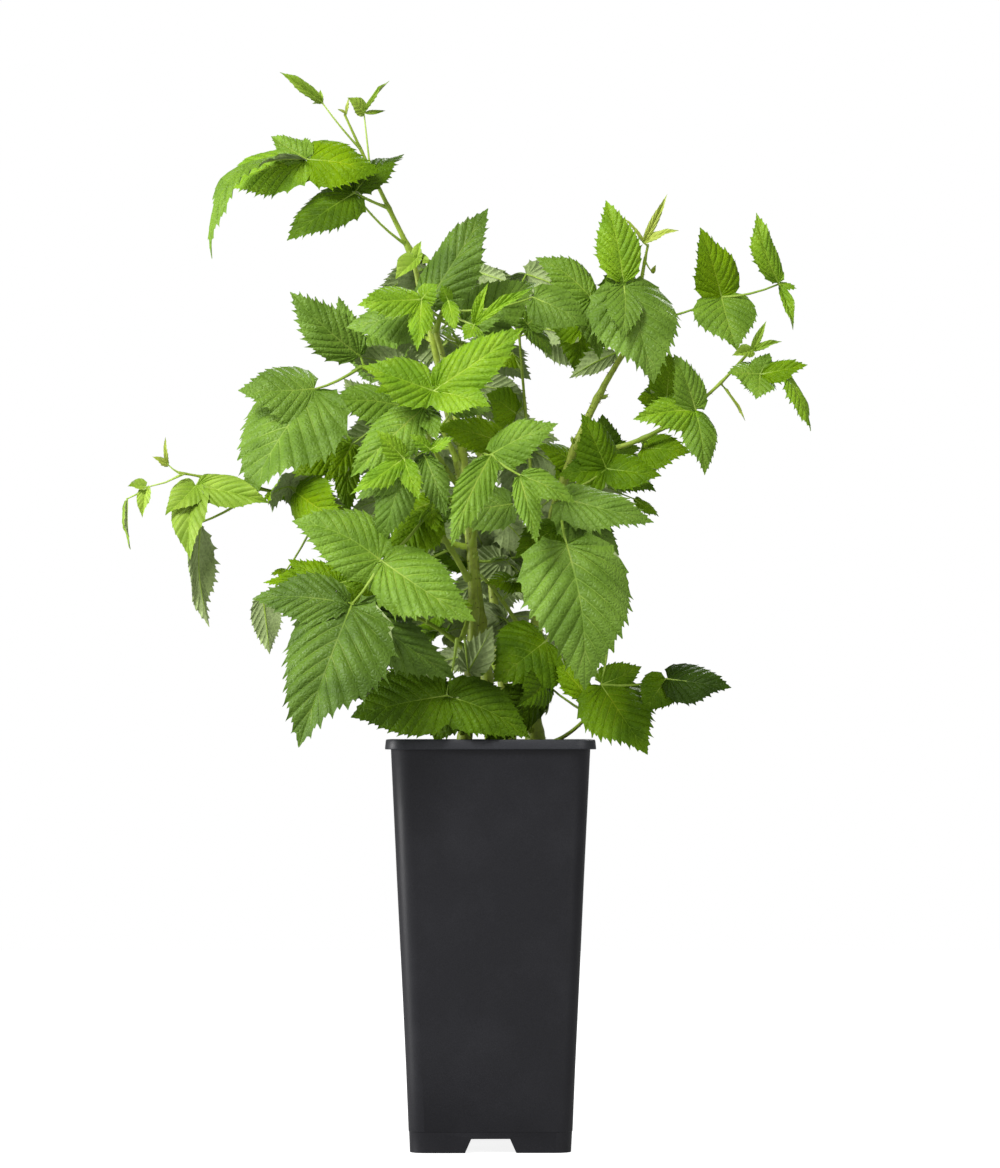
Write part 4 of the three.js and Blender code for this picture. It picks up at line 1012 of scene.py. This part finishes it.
def makeScale(base, along, face, long, wide, mark):  # a stipule or bud scale: a keeled, pointed scrap
    across = np.cross(face, along)
    places = [(0, 0, 0), (0.35, 0.5, 0.05), (0.35, -0.5, 0.05), (0.4, 0, -0.1), (0.4, 0, 0.02),
              (1, 0, 0.12)]
    axes = np.array([along * long, across * wide, face * long])
    points = base + np.array(places) @ axes
    faces = [(0, 4, 1), (0, 2, 4), (4, 5, 1), (2, 5, 4), (0, 1, 3), (0, 3, 2), (1, 5, 3), (3, 5, 2)]
    return points, faces, [mark] * 8


def makeThorn(base, out, long, radius, mark):
    guide = upward if abs(out[2]) < 0.9 else np.array([1.0, 0.0, 0.0])
    first = unit(np.cross(guide, out))
    second = np.cross(out, first)
    ring = [base + first * math.cos(a) * radius + second * math.sin(a) * radius for a in (0, 2.094, 4.189)]
    droopTip = base + out * long - upward * long * 0.25
    return np.array(ring + [droopTip]), [(0, 1, 3), (1, 2, 3), (2, 0, 3), (0, 2, 1)], [mark] * 4


stemPlan = {
    "sides": 9, "stalkSides": 7, "step": 4.0, "swell": 0.3, "swellLong": 2.0, "collar": 0.55,
    "collarLong": 2.2, "stalkThick": 0.95, "stalkThin": 0.6, "stalkBow": 0.05, "stipule": (3.0, 6.0),
    "thornEvery": 5.0, "thornLong": (0.4, 1.0), "thornThick": 0.25, "stalkThorn": 0.28,
}
stalkOf = dict.fromkeys(leafTones, 1) | {"light": 2, "young": 2, "tip": 2}


def stalkPath(start, end, chance):
    length = np.linalg.norm(end - start)
    out = (end - start) / max(length, 1e-6)
    sideways = unit(np.cross(out, upward) + 1e-6)
    bow = (upward * -1 + sideways * chance.normal(0, 0.5)) * stemPlan["stalkBow"] * length
    shares = np.linspace(0, 1, max(3, int(length / 6)))
    return np.array([start + out * length * s + bow * 4 * s * (1 - s) for s in shares])


def growLeaf(leaf, curve, outward, chance, crop, cadTips=None):
    tones, (share, stalk, blades) = leaf[0].split(), leaf[1:4]
    stems = crop["stems"]
    for tone in tones:
        if tone not in crop["tones"]:
            crop["tones"].append(tone)
    mark = stalkOf[tones[0]]
    start = curvePoint(curve, share)
    biggest = max(b[2] for b in blades)
    girth = min(1.0, 0.45 + biggest / 110)
    sections = [(stalk, blades)] + ([(leaf[4], leaf[5])] if len(leaf) > 4 else [])
    for number, (reach, leaflets) in enumerate(sections):
        out = direction(*reach[:2])
        joint = start + out * reach[2]
        path = stalkPath(start, joint, chance)
        radii = np.linspace(stemPlan["stalkThick"] * girth, stemPlan["stalkThin"] * girth, len(path))
        radii[0] *= 1.1 if number else 1.35
        stems.append(makeTube(path, radii, stemPlan["stalkSides"], mark))
        if not number and reach[2] > 8:  # stipules where the stalk begins, thorns along it
            for flank in (-1, 1):
                sideways = unit(np.cross(out, upward) * flank + out * 0.9)
                look = unit(np.cross(sideways, np.cross(out, sideways)) + upward * 0.2)
                look = unit(look - sideways * np.dot(look, sideways))
                long = chance.uniform(*stemPlan["stipule"])
                stems.append(makeScale(start + out * 1.2, sideways, look, long, 1.0, mark))
            for s in np.arange(0.12, 0.9, stemPlan["thornEvery"] / reach[2]):
                sag = upward * stemPlan["stalkBow"] * reach[2] * 4 * s * (1 - s)
                spot = path[0] + (path[-1] - path[0]) * s - sag
                aim = unit(turned(np.cross(out, upward) + 1e-3, out, chance.uniform(0, 360)))
                size = chance.uniform(*stemPlan["thornLong"]) + 0.5
                if tones[0] not in ("tip", "young"):
                    stems.append(makeThorn(spot, aim, size, stemPlan["stalkThorn"], mark))
        for i, (turn, fore, long, wide, *roll) in enumerate(leaflets):
            tone = tones.pop(0) if len(tones) > 1 else tones[0]
            along = direction(turn, fore)
            face = facing(joint, along, outward, roll[0] if roll else 0)
            neck = leafPlan["endNeck"] if outward and not i else leafPlan["sideNeck"]
            if cadTips:
                lean = findLean(joint, along, face, long, cadTips)
                if lean is None:
                    continue
                axis = np.cross(along, face)
                along, face = turned(along, axis, lean), turned(face, axis, lean)
            kind = "side" if long / wide > 1.75 else "broad"
            young = tone in ("tip", "young") or long / wide > 2.6 and wide < 14
            blade, rib = makeLeaflet(joint, along, face, long, wide, neck, kind, young, chance,
                                     3 * crop["tones"].index(tone), outward)
            crop["blades"].append(blade)
            stems.append(makeTube(*rib, 5, mark))
        start = joint


def findLean(joint, along, face, long, cadTips):  # a dealt leaflet leans as its solid does, or has none
    axis = np.cross(along, face)
    for lean in dealtPlan["leans"]:
        tip = joint + turned(along, axis, lean) * long
        if cadTips.find(Vector(tip))[2] < 0.35:
            return lean
    return None


def nodeTips(name):
    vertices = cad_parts[name].data.vertices
    tree = kdtree.KDTree(len(vertices))
    for i, vertex in enumerate(vertices):
        tree.insert(Vector((np.array(vertex.co) - plantAxis) / mm), i)
    tree.balance()
    return tree


def growStem(shoot, chance):
    p = stemPlan
    start, end = shoot["curve"][::2]
    into = start - shoot["lead"] * (seatGap + 1.4)
    length = np.linalg.norm(end - start)
    shares = np.linspace(0, 1, max(8, int(length / p["step"]) * 2))
    path = [into] + [curvePoint(shoot["curve"], s) for s in shares]
    nodeShares = [leaf[1] for leaf in shoot["leaves"]]
    first, last = shoot["thick"]
    radii = []
    for s in [0.0] + list(shares):
        near = min(abs(s - n) for n in nodeShares) * length
        swell = p["swell"] * math.exp(-(near / p["swellLong"]) ** 2)
        collar = p["collar"] * math.exp(-(s * length / p["collarLong"]) ** 2)
        radii.append((first + (last - first) * s) / 2 * (1 + swell) + collar)
    parts = [makeTube(path, radii, p["sides"], 0)]
    for s in np.arange(0.05, 0.95, p["thornEvery"] / length / 1.5):
        spot = curvePoint(shoot["curve"], s)
        lead = curveTangent(shoot["curve"], s)
        out = unit(turned(np.cross(lead, upward) + 1e-3, lead, chance.uniform(0, 360)))
        radius = (first + (last - first) * s) / 2
        size = chance.uniform(*p["thornLong"])
        parts.append(makeThorn(spot + out * radius * 0.9, out, size, p["thornThick"], 0))
    return parts


def growInnerLeaves(host, curve, chance, crop):
    for stem, tone, share, heading, climb, hang, long, reach in innerLeaves:
        if stem == host:
            heading, climb, hang = math.radians(heading), math.radians(climb), math.radians(hang)
            stalk, blades = (*angles(heading, climb), reach), threeBlades(heading, hang, long)
            growLeaf((tone, share, stalk, blades), curve, True, chance, crop)


def titleOf(name):  # highShoot becomes high-shoot
    return "".join("-" + c.lower() if c.isupper() else c for c in name)


def joinCrop(name, crop, stemWord):  # a piece of blades and one of stalks; gives the blades' triangles
    greens = [material for tone in crop["tones"] for material in leafMaterials[tone]]
    leaves = joinParts(titleOf(name) + "-leaves", crop["blades"], greens, [name],
                       leafPlan["smoothAngle"])
    joinParts(titleOf(name) + stemWord, crop["stems"], list(stemMaterials.values()), [name], 60)
    return sum(len(face.vertices) - 2 for face in leaves.data.polygons)


bladeTotal, seed = 0, dealtPlan["growSeed"]
for number, (name, shoot) in enumerate(allShoots.items()):
    chance = np.random.default_rng(seed + number)
    crop = {"blades": [], "stems": growStem(shoot, chance), "tones": []}
    dealt = name in dealtShoots
    tips = nodeTips(name) if dealt else None
    for order, leaf in enumerate(shoot["leaves"]):
        leafChance = np.random.default_rng(seed + number * 50 + order)
        growLeaf(leaf, shoot["curve"], dealt, leafChance, crop, tips)
    growInnerLeaves(name, shoot["curve"], chance, crop)
    bladeTotal += joinCrop(name, crop, "-stems")
print("shoots done, leaf triangles:", bladeTotal)


# canes: swollen at their nodes, streaked bark, buds and prickles

def makeCane(name, cane, seed):
    p = canePlan
    chance = np.random.default_rng(seed)
    curve = cane["curve"]
    spots = [curvePoint(curve, i / 40) for i in range(41)]
    length = sum(np.linalg.norm(b - a) for a, b in zip(spots, spots[1:]))
    nodes = [s for s in np.arange(p["nodeEvery"] / 2, length, p["nodeEvery"]) / length if s < 0.97]
    nodes += [shoot["share"] for shoot in allShoots.values() if shoot["cane"] == name]

    def radiusAt(share):
        swell = sum(math.exp(-((share - n) * length / p["nodeLong"]) ** 2) for n in nodes)
        return caneRadius(cane, share) * (p["slim"] + p["nodeSwell"] * min(1.0, swell))

    steps = int(length / p["step"])
    start = curvePoint(curve, 0) - upward * 3
    clearSelection()
    bpy.ops.mesh.primitive_circle_add(vertices=p["sides"], radius=radiusAt(0) * mm, fill_type="NGON",
                                      location=[v * mm for v in start])
    body = bpy.context.object
    bpy.ops.object.transform_apply()
    startEditing(body)
    bpy.ops.mesh.select_all(action="SELECT")
    bpy.ops.mesh.flip_normals()
    extrudeBy((0, 0, 3))
    here, last = curvePoint(curve, 0), radiusAt(0)
    for i in range(1, steps + 1):
        there, size = curvePoint(curve, i / steps), radiusAt(i / steps)
        raiseCap(there - here, size / last, there)
        here, last = there, size
    for factor in (0.82, 0.6, 0.5):  # the rounded tip
        rise = curveTangent(curve, 1) * last * 0.3
        here = here + rise
        raiseCap(rise, factor, here)
    endEditing()
    applyModifier(body, "SUBSURF", levels=1, render_levels=1)
    ridges = cloudTexture("ridges" + name, 0.004)
    applyModifier(body, "DISPLACE", texture=ridges, strength=p["relief"] * mm, mid_level=0.5)
    body.location = (axisX, axisY, 0)
    finishPiece(body, titleOf(name), [caneSkin], [name], 50)

    parts = []
    for prickle in range(p["prickles"]):
        share = chance.uniform(0.01, 0.98)
        lead = curveTangent(curve, share)
        out = unit(turned(unit(np.cross(lead, [0, 1, 0.1])), lead, chance.uniform(0, 360)))
        spot = curvePoint(curve, share) + out * radiusAt(share) * 0.95
        parts.append(makeThorn(spot, out, chance.uniform(*p["prickleLong"]), p["prickleThick"], 1))
    for i, share in enumerate(nodes[:int(length / p["nodeEvery"])]):  # a bud above each leaf scar
        lead = curveTangent(curve, share)
        out = unit(turned(unit(np.cross(lead, [0, 1, 0.1])), lead, 140 * i + 60))
        spot = curvePoint(curve, share) + out * (radiusAt(share) - 0.4)
        bud = unit(lead * 0.9 + out * 0.7)
        for spin in (0, 120, 240):
            parts.append(makeScale(spot, unit(bud + 0.25 * turned(out, bud, spin)), turned(unit(
                out - bud * np.dot(out, bud)), bud, spin), *p["budScale"], 0))
        parts.append(makeTube([spot - out, spot + bud * 1.5, spot + bud * 3], [1.3, 1.2, 0.5], 7, 0))
    joinParts(titleOf(name) + "-prickles", parts, [stemMaterials["stem"], caneOld], [name], 50)
    crop = {"blades": [], "stems": [], "tones": []}
    growInnerLeaves(name, curve, chance, crop)
    if crop["blades"]:
        joinCrop(name, crop, "-stalks")


for number, (name, cane) in enumerate(canes.items()):
    makeCane(name, cane, canePlan["seed"] + number)
print("canes done")


# floor, light and camera

studioPlan = {
    "floor": 4.0, "floorTone": (165, 165, 165), "floorGlow": 0.88, "world": 0.3,
    "lights": (  # name, place and height aimed at in metres, power, size
        ("key", (-0.75, -1.2, 1.45), 0.35, 33, 0.7), ("fill", (1.2, -1.6, 0.8), 0.35, 9, 0.9),
        ("rim", (0.5, 1.6, 1.6), 0.35, 22, 0.8), ("side", (-1.3, -0.24, 0.35), 0.2, 14, 0.5)),
    "camera": (5.0, -2300.0, 225.0), "lens": 130.9, "shiftY": 0.125,
}


def makeFloor():
    clearSelection()
    bpy.ops.mesh.primitive_plane_add(size=studioPlan["floor"], location=(0, 0, 0))
    floor = bpy.context.object
    bpy.ops.object.mode_set(mode="EDIT")
    bpy.ops.mesh.subdivide(number_cuts=8)
    bpy.ops.object.mode_set(mode="OBJECT")
    floor.name = "studio-floor"
    paper = bpy.data.materials.new("studio-paper")
    paper.use_nodes = True
    nodes = paper.node_tree.nodes
    shader = setInputs(nodes["Principled BSDF"], {
        "Base Color": colour(*studioPlan["floorTone"]), "Roughness": 0.9, "Specular IOR Level": 0.1,
        "Emission Color": (1, 1, 1, 1)})
    path = nodes.new("ShaderNodeLightPath")
    glow = mathNode(nodes, "MULTIPLY", 1, studioPlan["floorGlow"])
    wire(paper.node_tree, (path, "Is Camera Ray", glow, 0), (glow, 0, shader, "Emission Strength"))
    paper.cycles.emission_sampling = "NONE"  # the glow is only seen, it lights nothing
    floor.data.materials.append(paper)


def makeLight(name, place, aim, power, size):
    lamp = bpy.data.lights.new(name, "AREA")
    lamp.energy = power
    lamp.size = size
    lamp.shape = "DISK"
    light = bpy.data.objects.new(name, lamp)
    light.location = place
    light.rotation_euler = (Vector((0, 0, aim)) - Vector(place)).to_track_quat("-Z", "Y").to_euler()
    bpy.context.scene.collection.objects.link(light)


def makeStudio():
    s = studioPlan
    makeFloor()
    world = bpy.data.worlds.new("studio-air")
    world.use_nodes = True
    nodes = world.node_tree.nodes
    air = setInputs(nodes["Background"], {"Color": (1, 1, 1, 1), "Strength": s["world"]})
    seen = setInputs(nodes.new("ShaderNodeBackground"), {"Color": (1, 1, 1, 1), "Strength": 1.0})
    path = nodes.new("ShaderNodeLightPath")
    mix = nodes.new("ShaderNodeMixShader")
    wire(world.node_tree, (path, "Is Camera Ray", mix, "Fac"), (air, "Background", mix, 1),
         (seen, "Background", mix, 2), (mix, "Shader", nodes["World Output"], "Surface"))
    bpy.context.scene.world = world
    for light in s["lights"]:
        makeLight(*light)
    camera = bpy.data.cameras.new("front-camera")
    camera.sensor_width = 36
    camera.lens = s["lens"]
    camera.shift_y = s["shiftY"]
    camera.clip_end = 20
    eye = bpy.data.objects.new("front-camera", camera)
    eye.location = [axisX + s["camera"][0] * mm, axisY + s["camera"][1] * mm, s["camera"][2] * mm]
    eye.rotation_euler = (math.radians(90), 0, 0)
    bpy.context.scene.collection.objects.link(eye)
    bpy.context.scene.camera = eye
    bpy.context.scene.view_settings.view_transform = "Standard"


makeStudio()
print("studio ready")
